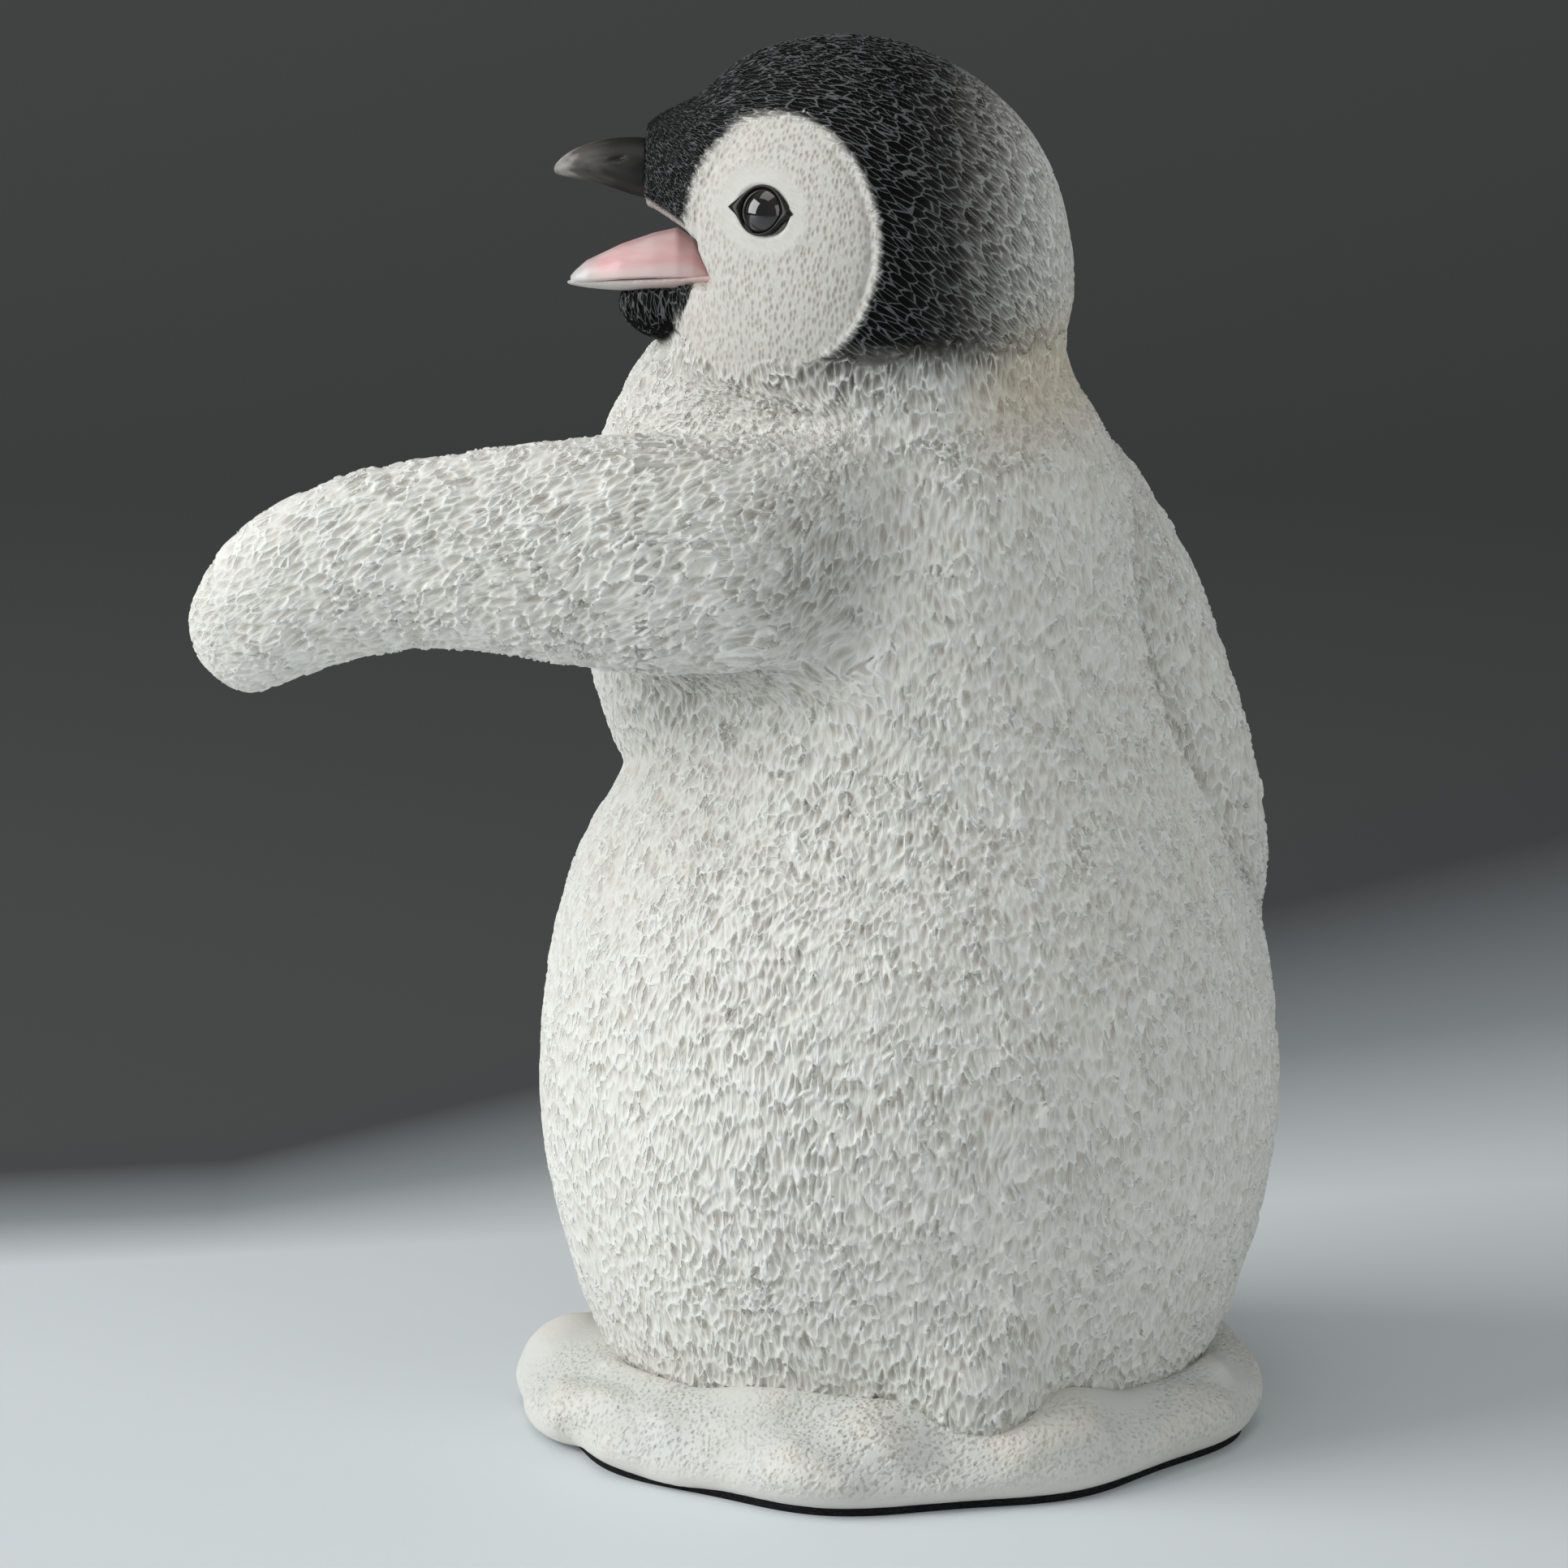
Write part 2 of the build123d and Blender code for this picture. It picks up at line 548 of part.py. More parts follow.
os.makedirs("parts", exist_ok=True)
for node, shape in build().items():
    export_step(shape, f"parts/{node}.step")
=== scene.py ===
"""Looks of a cast resin penguin chick on a snow base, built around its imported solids.

Every length is in metres, in the frame of the solids: +Z up, the belly towards -Y, the bill and the raised
flipper towards +X. The reliefs and paint masks are worked out in millimetres.
"""

import logging
import math
from collections.abc import Callable
from dataclasses import dataclass
from enum import Enum

import bmesh
import bpy
import numpy as np
from mathutils import Matrix, Vector

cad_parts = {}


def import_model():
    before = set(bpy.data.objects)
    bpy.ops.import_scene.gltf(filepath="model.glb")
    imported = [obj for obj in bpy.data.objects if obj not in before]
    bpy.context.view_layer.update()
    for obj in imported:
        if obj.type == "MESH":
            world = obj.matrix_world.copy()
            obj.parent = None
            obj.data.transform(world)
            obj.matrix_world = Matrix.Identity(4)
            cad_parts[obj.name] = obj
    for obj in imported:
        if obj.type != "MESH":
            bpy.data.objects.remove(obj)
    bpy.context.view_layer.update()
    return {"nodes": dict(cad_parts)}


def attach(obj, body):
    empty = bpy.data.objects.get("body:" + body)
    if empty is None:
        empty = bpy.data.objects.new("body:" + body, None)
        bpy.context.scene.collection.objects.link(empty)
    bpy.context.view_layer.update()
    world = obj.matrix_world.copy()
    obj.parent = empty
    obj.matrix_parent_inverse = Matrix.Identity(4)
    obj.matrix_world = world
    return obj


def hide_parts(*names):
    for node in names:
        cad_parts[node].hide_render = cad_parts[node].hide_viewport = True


LOG = logging.getLogger("penguin_chick")
MM = 0.001
BODY = "root"
MERGE_DISTANCE = 0.002 * MM
NECK_LEVEL = 179.0
Pair = tuple[float, float]
Triple = tuple[float, float, float]
Colour = Triple
Shape = bmesh.types.BMesh
Socket = bpy.types.NodeSocket
Nodes = dict[str, bpy.types.Object]


class Slot(Enum):
    """Finishes that the record names."""

    DOWN = "down"
    HOOD = "hood"
    BILL = "bill"
    MOUTH = "mouth"
    EYE = "eye"
    FOOT = "foot"
    SNOW = "snow"
    FELT = "felt"
    STEEL = "steel"
    PLUG = "plug"


class Mask(Enum):
    """Values that a mesh carries for its paint."""

    PILE = "pile"
    HOOD = "hood"
    FACE = "face"
    LID = "lid"
    WARM = "warm"
    SHADE = "shade"
    GAPE = "gape"
    FLOW = "flow"
    SEAM = "seam"
    BROKEN = "broken"
    RING = "ring"
    HOLLOW = "hollow"
    POROUS = "porous"


def smooth_step(low: float, high: float, values: np.ndarray) -> np.ndarray:
    """Eases from 0 to 1 between two limits.

    Args:
        low: Value at which the result is 0.
        high: Value at which the result is 1.
        values: Values to ease.

    Returns:
        The eased values.
    """
    share = np.clip((values - low) / (high - low), 0.0, 1.0)
    return share * share * (3.0 - 2.0 * share)


def blend(first: np.ndarray, second: np.ndarray, share: np.ndarray) -> np.ndarray:
    """Mixes two fields, with all of the second where share is 1."""
    return first + (second - first) * share


class MeshWork:
    """Steps that several pieces share."""

    @staticmethod
    def merged_copy(node: bpy.types.Object) -> Shape:
        """Copies a solid's mesh and merges its loose triangles.

        Args:
            node: Object of the solid, which stays as it is.

        Returns:
            The merged copy.
        """
        shape = bmesh.new()
        shape.from_mesh(node.data)
        bmesh.ops.remove_doubles(shape, verts=shape.verts, dist=MERGE_DISTANCE)
        return shape

    @staticmethod
    def placed(shape: Shape, name: str) -> bpy.types.Object:
        """Makes an object at the origin from a shape, and frees the shape.

        Args:
            shape: Shape in the frame of the solids.
            name: Name of the new object.

        Returns:
            The object, smooth all over.
        """
        mesh = bpy.data.meshes.new(name)
        shape.to_mesh(mesh)
        shape.free()
        mesh.shade_smooth()
        piece = bpy.data.objects.new(name, mesh)
        bpy.context.scene.collection.objects.link(piece)
        return piece

    @staticmethod
    def settle(piece: bpy.types.Object) -> None:
        """Turns a piece's modifiers into its mesh."""
        depsgraph = bpy.context.evaluated_depsgraph_get()
        mesh = bpy.data.meshes.new_from_object(piece.evaluated_get(depsgraph))
        piece.modifiers.clear()
        spent = piece.data
        piece.data = mesh
        bpy.data.meshes.remove(spent)

    @staticmethod
    def remesh(piece: bpy.types.Object, voxel: float) -> None:
        """Recasts a piece as even small quads."""
        voxels = piece.modifiers.new("voxels", "REMESH")
        voxels.mode = "VOXEL"
        voxels.voxel_size = voxel
        MeshWork.settle(piece)

    @staticmethod
    def relax(piece: bpy.types.Object, rounds: int, group: str = "") -> None:
        """Evens out a piece's surface.

        Args:
            piece: Piece to smooth.
            rounds: Number of smoothing rounds.
            group: Vertex group that limits the smoothing, or nothing for all of it.
        """
        relaxed = piece.modifiers.new("relaxed", "SMOOTH")
        relaxed.factor = 0.5
        relaxed.iterations = rounds
        relaxed.vertex_group = group
        MeshWork.settle(piece)

    @staticmethod
    def refine(piece: bpy.types.Object) -> None:
        """Divides each quad of a piece smoothly into four."""
        finer = piece.modifiers.new("finer", "SUBSURF")
        finer.levels = 1
        finer.render_levels = 1
        MeshWork.settle(piece)

    @staticmethod
    def outer_shell(piece: bpy.types.Object) -> None:
        """Keeps only what hangs together with a piece's topmost vertex."""
        shape = bmesh.new()
        shape.from_mesh(piece.data)
        first = max(shape.verts, key=lambda vert: vert.co.z)
        reached = {first}
        ahead = [first]
        while ahead:
            vert = ahead.pop()
            for edge in vert.link_edges:
                other = edge.other_vert(vert)
                if other not in reached:
                    reached.add(other)
                    ahead.append(other)
        inner = [vert for vert in shape.verts if vert not in reached]
        bmesh.ops.delete(shape, geom=inner, context="VERTS")
        shape.to_mesh(piece.data)
        shape.free()

    @staticmethod
    def places(mesh: bpy.types.Mesh) -> np.ndarray:
        """Vertex positions of a mesh in millimetres."""
        flat = np.empty(len(mesh.vertices) * 3, np.float32)
        mesh.vertices.foreach_get("co", flat)
        return flat.reshape(-1, 3) / MM

    @staticmethod
    def normals(mesh: bpy.types.Mesh) -> np.ndarray:
        """Vertex normals of a mesh."""
        flat = np.empty(len(mesh.vertices) * 3, np.float32)
        mesh.vertex_normals.foreach_get("vector", flat)
        return flat.reshape(-1, 3)

    @staticmethod
    def move_to(mesh: bpy.types.Mesh, places: np.ndarray) -> None:
        """Moves a mesh's vertices to new positions in millimetres."""
        mesh.vertices.foreach_set("co", (places * MM).astype(np.float32).ravel())
        mesh.update()

    @staticmethod
    def carry(mesh: bpy.types.Mesh, mask: Mask, values: np.ndarray) -> None:
        """Stores one value per vertex under a mask's name."""
        carried = mesh.attributes.new(mask.value, "FLOAT", "POINT")
        carried.data.foreach_set("value", values.astype(np.float32))

    @staticmethod
    def carry_flow(mesh: bpy.types.Mesh, flow: np.ndarray) -> None:
        """Stores the direction in which the down lies, as positions in flow space."""
        carried = mesh.attributes.new(Mask.FLOW.value, "FLOAT_VECTOR", "POINT")
        carried.data.foreach_set("vector", flow.astype(np.float32).ravel())

    @staticmethod
    def close(shape: Shape, inward: Vector | None = None) -> None:
        """Closes the open rims of a shape with faces that keep a sharp edge.

        Args:
            shape: Shape to close.
            inward: How far the closing faces lie inside, or nothing for faces right at the rims.
        """
        rim = [edge for edge in shape.edges if edge.is_boundary]
        for edge in rim:
            edge.smooth = False
        if inward is not None:
            grown = bmesh.ops.extrude_edge_only(shape, edges=rim)["geom"]
            moved = [item for item in grown if isinstance(item, bmesh.types.BMVert)]
            bmesh.ops.translate(shape, verts=moved, vec=inward)
            rim = [edge for edge in shape.edges if edge.is_boundary]
        for face in bmesh.ops.holes_fill(shape, edges=rim, sides=0)["faces"]:
            face.smooth = False
        if inward is not None:
            bmesh.ops.recalc_face_normals(shape, faces=shape.faces)

    @staticmethod
    def cut(shape: Shape, point: Vector, away: Vector) -> None:
        """Cuts off what lies beyond a plane and closes the cut.

        Args:
            shape: Shape to cut.
            point: Point on the plane, in metres.
            away: Normal of the plane, towards what is cut off.
        """
        geom = shape.verts[:] + shape.edges[:] + shape.faces[:]
        bmesh.ops.bisect_plane(shape, geom=geom, dist=MERGE_DISTANCE, plane_co=point, plane_no=away,
                               clear_outer=True)
        MeshWork.close(shape)

    @staticmethod
    def halves(shape: Shape, point: Vector, normal: Vector) -> tuple[Shape, Shape]:
        """Cuts a shape in two closed halves.

        Args:
            shape: Shape to cut, which becomes the first half.
            point: Point on the plane, in metres.
            normal: Normal of the plane, towards the first half.

        Returns:
            Both halves.
        """
        other = shape.copy()
        MeshWork.cut(shape, point, -normal)
        MeshWork.cut(other, point, normal)
        return shape, other

    @staticmethod
    def take(shape: Shape, chosen: Callable[[Vector], bool], inward: Vector) -> Shape:
        """Takes some faces out of a shape and closes both holes.

        Args:
            shape: Shape that loses the faces.
            chosen: Tells from a face's middle, in millimetres, whether it is taken.
            inward: How far inside the holes are closed.

        Returns:
            What was taken.
        """
        taken = shape.copy()
        for part, unwanted in ((shape, True), (taken, False)):
            faces = [face for face in part.faces if chosen(face.calc_center_median() / MM) is unwanted]
            bmesh.ops.delete(part, geom=faces, context="FACES")
            MeshWork.close(part, inward)
        return taken


class Chance:
    """Repeatable random fields on a lattice."""

    @staticmethod
    def lattice(cells: np.ndarray, seed: int) -> np.ndarray:
        """Three even random numbers for each lattice cell.

        Args:
            cells: Whole-number cells, one per row.
            seed: Number that sets one field apart from another.

        Returns:
            Numbers from 0 to 1, three per row.
        """
        x, y, z = (cells[:, i].astype(np.uint32) for i in range(3))
        mixed = x * np.uint32(0x8DA6B343) ^ y * np.uint32(0xD8163841) ^ z * np.uint32(0xCB1AB31F)
        mixed = mixed + np.uint32(seed * 7919)
        for shift, factor in ((15, 0x2C1B3C6D), (12, 0x297A2D39), (15, 0x85EBCA6B)):
            mixed = (mixed ^ (mixed >> np.uint32(shift))) * np.uint32(factor)
        bits = np.uint32(1023)
        thirds = [(mixed >> np.uint32(shift)) & bits for shift in (0, 10, 20)]
        return np.stack(thirds, axis=1).astype(np.float32) / 1023.0

    @staticmethod
    def swell(places: np.ndarray, size: float, seed: int) -> np.ndarray:
        """Soft lumps of about one size, from 0 to 1.

        Args:
            places: Points in millimetres.
            size: Size of a lump in millimetres.
            seed: Number that sets one field apart from another.

        Returns:
            One value per point.
        """
        scaled = places / size
        corner = np.floor(scaled).astype(np.int64)
        inside = (scaled - corner).astype(np.float32)
        eased = inside * inside * (3.0 - 2.0 * inside)
        total = np.zeros(len(places), np.float32)
        for step in np.ndindex(2, 2, 2):
            weight = np.prod(np.where(np.array(step) == 1, eased, 1.0 - eased), axis=1)
            total += weight * Chance.lattice(corner + np.array(step), seed)[:, 0]
        return total


class Cells:
    """Cell points of the paint's own cell texture, so that carving and paint meet."""

    START = 0xDEADBEEF + 13

    @staticmethod
    def turned(bits: np.ndarray, places: int) -> np.ndarray:
        """Turns the bits of whole numbers round."""
        return (bits << np.uint32(places)) | (bits >> np.uint32(32 - places))

    @staticmethod
    def stirred(a: np.ndarray, b: np.ndarray, c: np.ndarray) -> tuple[np.ndarray, np.ndarray, np.ndarray]:
        """Stirs three whole numbers together."""
        for places in (4, 6, 8, 16, 19, 4):
            a = (a - c) ^ Cells.turned(c, places)
            a, b, c = b, c + b, a
        return a, b, c

    @staticmethod
    def settled(a: np.ndarray, b: np.ndarray, c: np.ndarray) -> np.ndarray:
        """Draws one whole number from three."""
        for places in (14, 11, 25, 16, 4, 14, 24):
            c = (c ^ b) - Cells.turned(b, places)
            a, b, c = b, c, a
        return b

    @staticmethod
    def drawn(cells: np.ndarray) -> np.ndarray:
        """Three random numbers from 0 to 1 for each cell.

        Args:
            cells: Whole-number cells, one per row.

        Returns:
            The point of each cell within the cell.
        """
        x, y, z = (np.ascontiguousarray(cells[:, i], np.float32).view(np.uint32) for i in range(3))
        three = np.uint32(Cells.START + 12)
        four = np.uint32(Cells.START + 16)
        thirds = [Cells.settled(x + three, y + three, z + three)]
        a, b, c = Cells.stirred(x + four, y + four, z + four)
        for turn in (1.0, 2.0):
            thirds.append(Cells.settled(a + np.float32(turn).view(np.uint32), b, c))
        return (np.stack(thirds, axis=1) / np.float64(0xFFFFFFFF)).astype(np.float32)


@dataclass(frozen=True)
class Scoops:
    """Scoops carved into the down, one per cell in flow space.

    Attributes:
        edge: How far a point is from the ridge between scoops.
        along: How far downstream a point is from its scoop's middle.
        chance: One random number per scoop.
    """

    edge: np.ndarray
    along: np.ndarray
    chance: np.ndarray

    @staticmethod
    def at(flow: np.ndarray) -> "Scoops":
        """Finds the scoop of each point.

        Args:
            flow: Points in flow space, one scoop per unit, with the third value downstream.

        Returns:
            The scoops.
        """
        flow = flow.astype(np.float32)
        cell = np.floor(flow)
        inside = flow - cell
        nearest = np.full(len(flow), 9.0, np.float32)
        second = np.full(len(flow), 9.0, np.float32)
        own = np.zeros_like(flow)
        next_one = np.zeros_like(flow)
        chance = np.zeros(len(flow), np.float32)
        for step in np.ndindex(3, 3, 3):
            offset = np.array(step, np.float32) - 1.0
            drawn = Cells.drawn(cell + offset + 0.0)
            away = offset + drawn - inside
            gap = (away * away).sum(axis=1)
            closer = gap < nearest
            between = ~closer & (gap < second)
            next_one[between] = away[between]
            next_one[closer] = own[closer]
            second = np.where(closer, nearest, np.minimum(second, gap))
            own[closer] = away[closer]
            chance[closer] = drawn[closer, 1]
            nearest = np.minimum(nearest, gap)
        apart = np.maximum(np.linalg.norm(next_one - own, axis=1), 1e-4)
        return Scoops((second - nearest) / (2.0 * apart), -own[:, 2], chance)

    def height(self, broken: np.ndarray) -> np.ndarray:
        """Height of the down, from 0 in a scoop to 1 on a ridge.

        Args:
            broken: How far the ridges are worn away, from 0 to 1.

        Returns:
            One height per point.
        """
        wall = smooth_step(Carving.ridge, Carving.crest, self.edge) * (1.0 - Carving.wear * broken)
        floor = Carving.floor + Carving.uneven * self.chance
        floor = floor + Carving.bowl * smooth_step(Carving.bowl_width, 0.0, self.edge)
        floor = floor + Carving.tilt * smooth_step(Carving.low_end, Carving.high_end, self.along)
        return np.clip(np.maximum(wall, floor), 0.0, 1.0)


@dataclass(frozen=True)
class Carving:
    """Profile of a scoop, shared by the relief and its paint.

    Attributes:
        ridge: Half width of the ridge between scoops, in scoops.
        crest: Half width of its flat top.
        wear: Share of a ridge that can be worn away.
        uneven: How much one scoop differs from the next.
        floor: Lowest height of a floor.
        bowl: Rise of a floor towards the ridges.
        bowl_width: Width of that rise, in scoops.
        tilt: Rise of a floor towards its downstream end.
        low_end: Where the rise starts, from a scoop's middle.
        high_end: Where the rise ends.
    """

    ridge: float = 0.15
    crest: float = 0.03
    wear: float = 0.5
    uneven: float = 0.22
    floor: float = 0.05
    bowl: float = 0.28
    bowl_width: float = 0.4
    tilt: float = 0.3
    low_end: float = -0.45
    high_end: float = 0.55


@dataclass
class Plumage:
    """Carved down of torso, head and flippers: one skin, parted again where the castings meet.

    Values with MM are in metres, all other lengths in millimetres. A pair of places is x and z.

    Attributes:
        voxel: Size of the skin's quads before they are divided.
        swell: How far the solids are grown before they are joined.
        plug_radius: Radius of the cylinder that closes the torso from below.
        plug_bottom: Lower end of that cylinder.
        plug_top: Upper end of that cylinder.
        belly_axis: Upright axis of the belly, as x and y.
        body_scoop: Width and length of a scoop on the body.
        body_relief: Depth of the body's scoops.
        flipper_slant: Slant of the raised flipper's scoops, in degrees.
        head_scoop: Width and length of a scoop on the head.
        head_relief: Depth of the head's scoops.
        head_centre: Point from which the head's scoops fan out.
        head_axis: Direction from that point to the bill.
        face_centre: Middle of the pale face.
        face_half: Half width and half height of the face.
        eye_centre: Middle of the eye.
        eye_radius: Radius of the eye's socket.
        socket_depth: Depth of the socket.
        flipper_cut_x: Where the raised flipper is parted from the torso.
        tenon: How far inside a parted flipper's hole is closed.
        wing_pivot: Point about which the scoops turn into the raised flipper.
        fold_pivot: Point about which they turn into the folded flipper.
        fold_turn: Turn of the scoops on the folded flipper, in degrees.
        collar_level: Height of the jagged line where the scoops of head and body meet.
        face_softness: Softness of the corner where face and cheek meet.
        part_y: Where the torso is parted into back and front.
        part_levels: Pieces of back and front from the top, with the height at which each ends.
    """

    voxel: float = 0.82 * MM
    quick_voxel: float = 1.5 * MM
    swell: float = 0.3 * MM
    plug_radius: float = 14.0 * MM
    plug_bottom: float = 9.9 * MM
    plug_top: float = 19.0 * MM
    belly_axis: Pair = (-4.0 * MM, -4.0 * MM)
    body_scoop: Pair = (1.14, 3.6)
    body_relief: float = 0.95
    flipper_slant: float = 28.0
    head_scoop: Pair = (0.74, 3.5)
    head_relief: float = 0.45
    head_centre: Triple = (3.0, 0.0, 190.0)
    head_axis: Pair = (0.82, 0.57)
    face_centre: Pair = (17.0, 198.4)
    face_half: Pair = (15.2, 19.2)
    eye_centre: Pair = (20.0, 203.4)
    eye_radius: float = 4.0
    socket_depth: float = 1.6
    flipper_cut_x: float = 40.0
    tenon: float = 7.0 * MM
    wing_pivot: Pair = (12.0, 148.0)
    fold_pivot: Pair = (-45.0, 120.0)
    fold_turn: float = -20.0
    collar_level: float = 181.5
    face_softness: float = 0.06
    part_y: float = -3.0
    part_levels: tuple[tuple[str, float], ...] = (("shoulder", 128.0), ("waist", 84.0), ("belly", 42.0))

    def skin(self, nodes: Nodes) -> bpy.types.Object:
        """Forms the whole carved skin.

        Args:
            nodes: Objects of the solids.

        Returns:
            The skin, with its paint masks.
        """
        whole = bmesh.new()
        whole_castings = ("torso", "head", "left_flipper", "right_flipper", "left_eye", "right_eye")
        castings = [(name, (0.0, 0.0, 0.0)) for name in whole_castings]
        fillers = [(shift, lean * shift, 0.0) for shift in (3.0, 6.0, 9.0) for lean in (0.0, 1.2)]
        for name, shift in castings + [("right_flipper", shift) for shift in fillers]:
            shape = MeshWork.merged_copy(nodes[name])
            bmesh.ops.translate(shape, verts=shape.verts, vec=Vector(shift) * MM)
            for vert, normal in [(vert, vert.normal.copy()) for vert in shape.verts]:
                vert.co += normal * self.swell
            spent = bpy.data.meshes.new(name)
            shape.to_mesh(spent)
            shape.free()
            whole.from_mesh(spent)
            bpy.data.meshes.remove(spent)
        height = self.plug_top - self.plug_bottom
        middle = Vector((*self.belly_axis, self.plug_bottom + height / 2))
        bmesh.ops.create_cone(whole, cap_ends=True, segments=48, radius1=self.plug_radius,
                              radius2=self.plug_radius, depth=height, matrix=Matrix.Translation(middle))
        skin = MeshWork.placed(whole, "skin")
        MeshWork.remesh(skin, self.voxel)
        MeshWork.outer_shell(skin)
        MeshWork.relax(skin, 7)
        self.soften(skin)
        self.reshape(skin.data)
        MeshWork.refine(skin)
        self.carve(skin.data)
        return skin

    def soften(self, skin: bpy.types.Object) -> None:
        """Smooths the creases where the flippers and the tail grow out of the body."""
        x, y, z = MeshWork.places(skin.data).T
        shoulder = smooth_step(44.0, 26.0, x) * smooth_step(-14.0, 2.0, x) * smooth_step(14.0, 24.0, y)
        shoulder = shoulder * smooth_step(112.0, 126.0, z) * smooth_step(184.0, 172.0, z)
        tail = smooth_step(36.0, 26.0, np.abs(x + 10.0)) * smooth_step(28.0, 36.0, y)
        tail = tail * smooth_step(56.0, 44.0, z)
        fold = smooth_step(-16.0, -24.0, x) * smooth_step(-5.0, 1.0, y) * smooth_step(30.0, 22.0, y)
        fold = fold * smooth_step(78.0, 88.0, z) * smooth_step(170.0, 160.0, z)
        tip = smooth_step(-48.0, -53.0, x) * smooth_step(-24.0, -14.0, y) * smooth_step(72.0, 80.0, z)
        tip = tip * smooth_step(100.0, 93.0, z)
        for weight, rounds in ((shoulder, 120), (tail, 320), (fold, 90), (tip, 80)):
            group = skin.vertex_groups.new(name="soft")
            for index in np.nonzero(weight > 0.01)[0]:
                group.add([int(index)], float(weight[index]), "REPLACE")
            MeshWork.relax(skin, rounds, group.name)

    def reshape(self, mesh: bpy.types.Mesh) -> None:
        """Flattens the forehead, draws down the tail and the raised flipper's tip, and hollows its edge."""
        places = MeshWork.places(mesh)
        normals = MeshWork.normals(mesh)
        x, y, z = places.T
        brow = np.exp(-((x - 31.0) / 6.5) ** 2 - ((z - 220.0) / 7.0) ** 2)
        moved = places - normals * (2.5 * brow)[:, None]
        hem = smooth_step(32.0, 12.0, z) * smooth_step(0.0, 30.0, y)
        moved[:, 2] -= 4.0 * hem
        tail = np.exp(-((x + 16.0) / 13.0) ** 2) * smooth_step(40.0, 52.0, y) * smooth_step(36.0, 14.0, z)
        moved[:, 2] -= 2.0 * tail
        moved[:, 1] += 1.6 * tail
        hollow = np.exp(-((x - 68.0) / 16.0) ** 2) * smooth_step(142.0, 134.0, z) * (x > 46.0)
        moved[:, 2] += 1.6 * hollow
        tip = smooth_step(93.0, 103.0, x) * smooth_step(140.0, 126.0, z)
        moved[:, 2] -= 1.5 * tip
        MeshWork.move_to(mesh, moved)

    def flipper_share(self, places: np.ndarray) -> np.ndarray:
        """How far each point belongs to the raised flipper, from 0 to 1."""
        x, y, z = places.T
        middle = np.interp(x, (2.0, 46.0, 66.0, 84.0, 96.5, 105.2),
                           (150.2, 150.0, 149.0, 146.4, 140.4, 129.0))
        near = smooth_step(26.0, 16.0, np.abs(z - middle)) * smooth_step(8.0, 22.0, y)
        return np.maximum(near * smooth_step(-4.0, 30.0, x), smooth_step(48.0, 54.0, x) * (z > 100.0))

    def folded(self, y: np.ndarray, z: np.ndarray) -> np.ndarray:
        """How far points lie inside the outline of the folded flipper, above 0 inside."""
        middle = np.interp(z, (82.0, 96.0, 113.0, 131.0, 148.0, 162.0),
                           (-9.0, -11.0, -12.0, -12.0, -11.0, -9.0))
        half = np.interp(z, (79.0, 86.0, 96.0, 113.0, 131.0, 148.0, 158.0, 163.0),
                         (0.0, 9.0, 14.5, 17.5, 17.5, 15.0, 9.0, 0.0))
        return half - np.abs(y - middle)

    def head_flow(self, places: np.ndarray) -> np.ndarray:
        """Flow space of the head, from the bill over the crown to the nape."""
        away = places - np.array(self.head_centre)
        level, rise = self.head_axis
        ahead = level * away[:, 0] + rise * away[:, 2]
        upward = -rise * away[:, 0] + level * away[:, 2]
        turn = np.arctan2(away[:, 1], upward)
        back = np.arctan2(np.hypot(upward, away[:, 1]), ahead)
        wide, long = self.head_scoop
        depth = np.linalg.norm(away, axis=1)
        return np.stack((turn * 27.0 / wide, depth / wide, back * 33.0 / long), axis=1)

    def flow(self, places: np.ndarray, collar: np.ndarray) -> np.ndarray:
        """Flow space of the whole skin, turning from the back into the flippers.

        Args:
            places: Points in millimetres.
            collar: Height above the jagged line where head and body meet.

        Returns:
            One point in flow space per point.
        """
        drift = np.zeros_like(places)
        for size, reach, seed in ((9.0, 2.6, 3), (2.8, 0.8, 6)):
            waves = [Chance.swell(places, size, seed + axis) - 0.5 for axis in range(3)]
            drift += reach * np.stack(waves, axis=1)
        x, y, z = (places + drift).T
        on_folded = smooth_step(-5.0, 5.0, self.folded(places[:, 1], places[:, 2]))
        on_folded = np.where(places[:, 0] < -20.0, on_folded, 0.0)
        turn = math.radians(90.0 - self.flipper_slant) * self.flipper_share(places)
        turn = turn + math.radians(self.fold_turn) * on_folded
        behind = places[:, 0] < -10.0
        pivot_x, pivot_z = (np.where(behind, *pair) for pair in zip(self.fold_pivot, self.wing_pivot))
        across = np.cos(turn) * (x - pivot_x) + np.sin(turn) * (z - pivot_z) + pivot_x
        along = np.sin(turn) * (x - pivot_x) - np.cos(turn) * (z - pivot_z) - pivot_z
        wide, long = self.body_scoop
        body = np.stack((across / wide, y / wide, along / long), axis=1)
        return np.where((collar > 0.0)[:, None], self.head_flow(places + 0.3 * drift), body)

    def carve(self, mesh: bpy.types.Mesh) -> None:
        """Carves scoops into the skin and stores what the paint needs."""
        places = MeshWork.places(mesh)
        normals = MeshWork.normals(mesh)
        x, y, z = places.T
        collar = z - self.collar_level + 5.0 * (Chance.swell(places, 8.0, 23) - 0.5)
        collar = collar + 5.0 * (Chance.swell(places, 2.2, 25) - 0.5)
        on_head = smooth_step(-5.5, 5.5, collar)
        flow = self.flow(places, collar)
        calm = smooth_step(0.25, 0.7, np.abs(collar))
        broken = smooth_step(0.42, 0.68, Chance.swell(places, 2.3, 24)) * (1.0 - on_head)
        scoops = Scoops.at(flow)
        pile = blend(np.full_like(calm, 0.4), scoops.height(broken), calm)
        fringe = scoops.chance - 0.5 + scoops.along

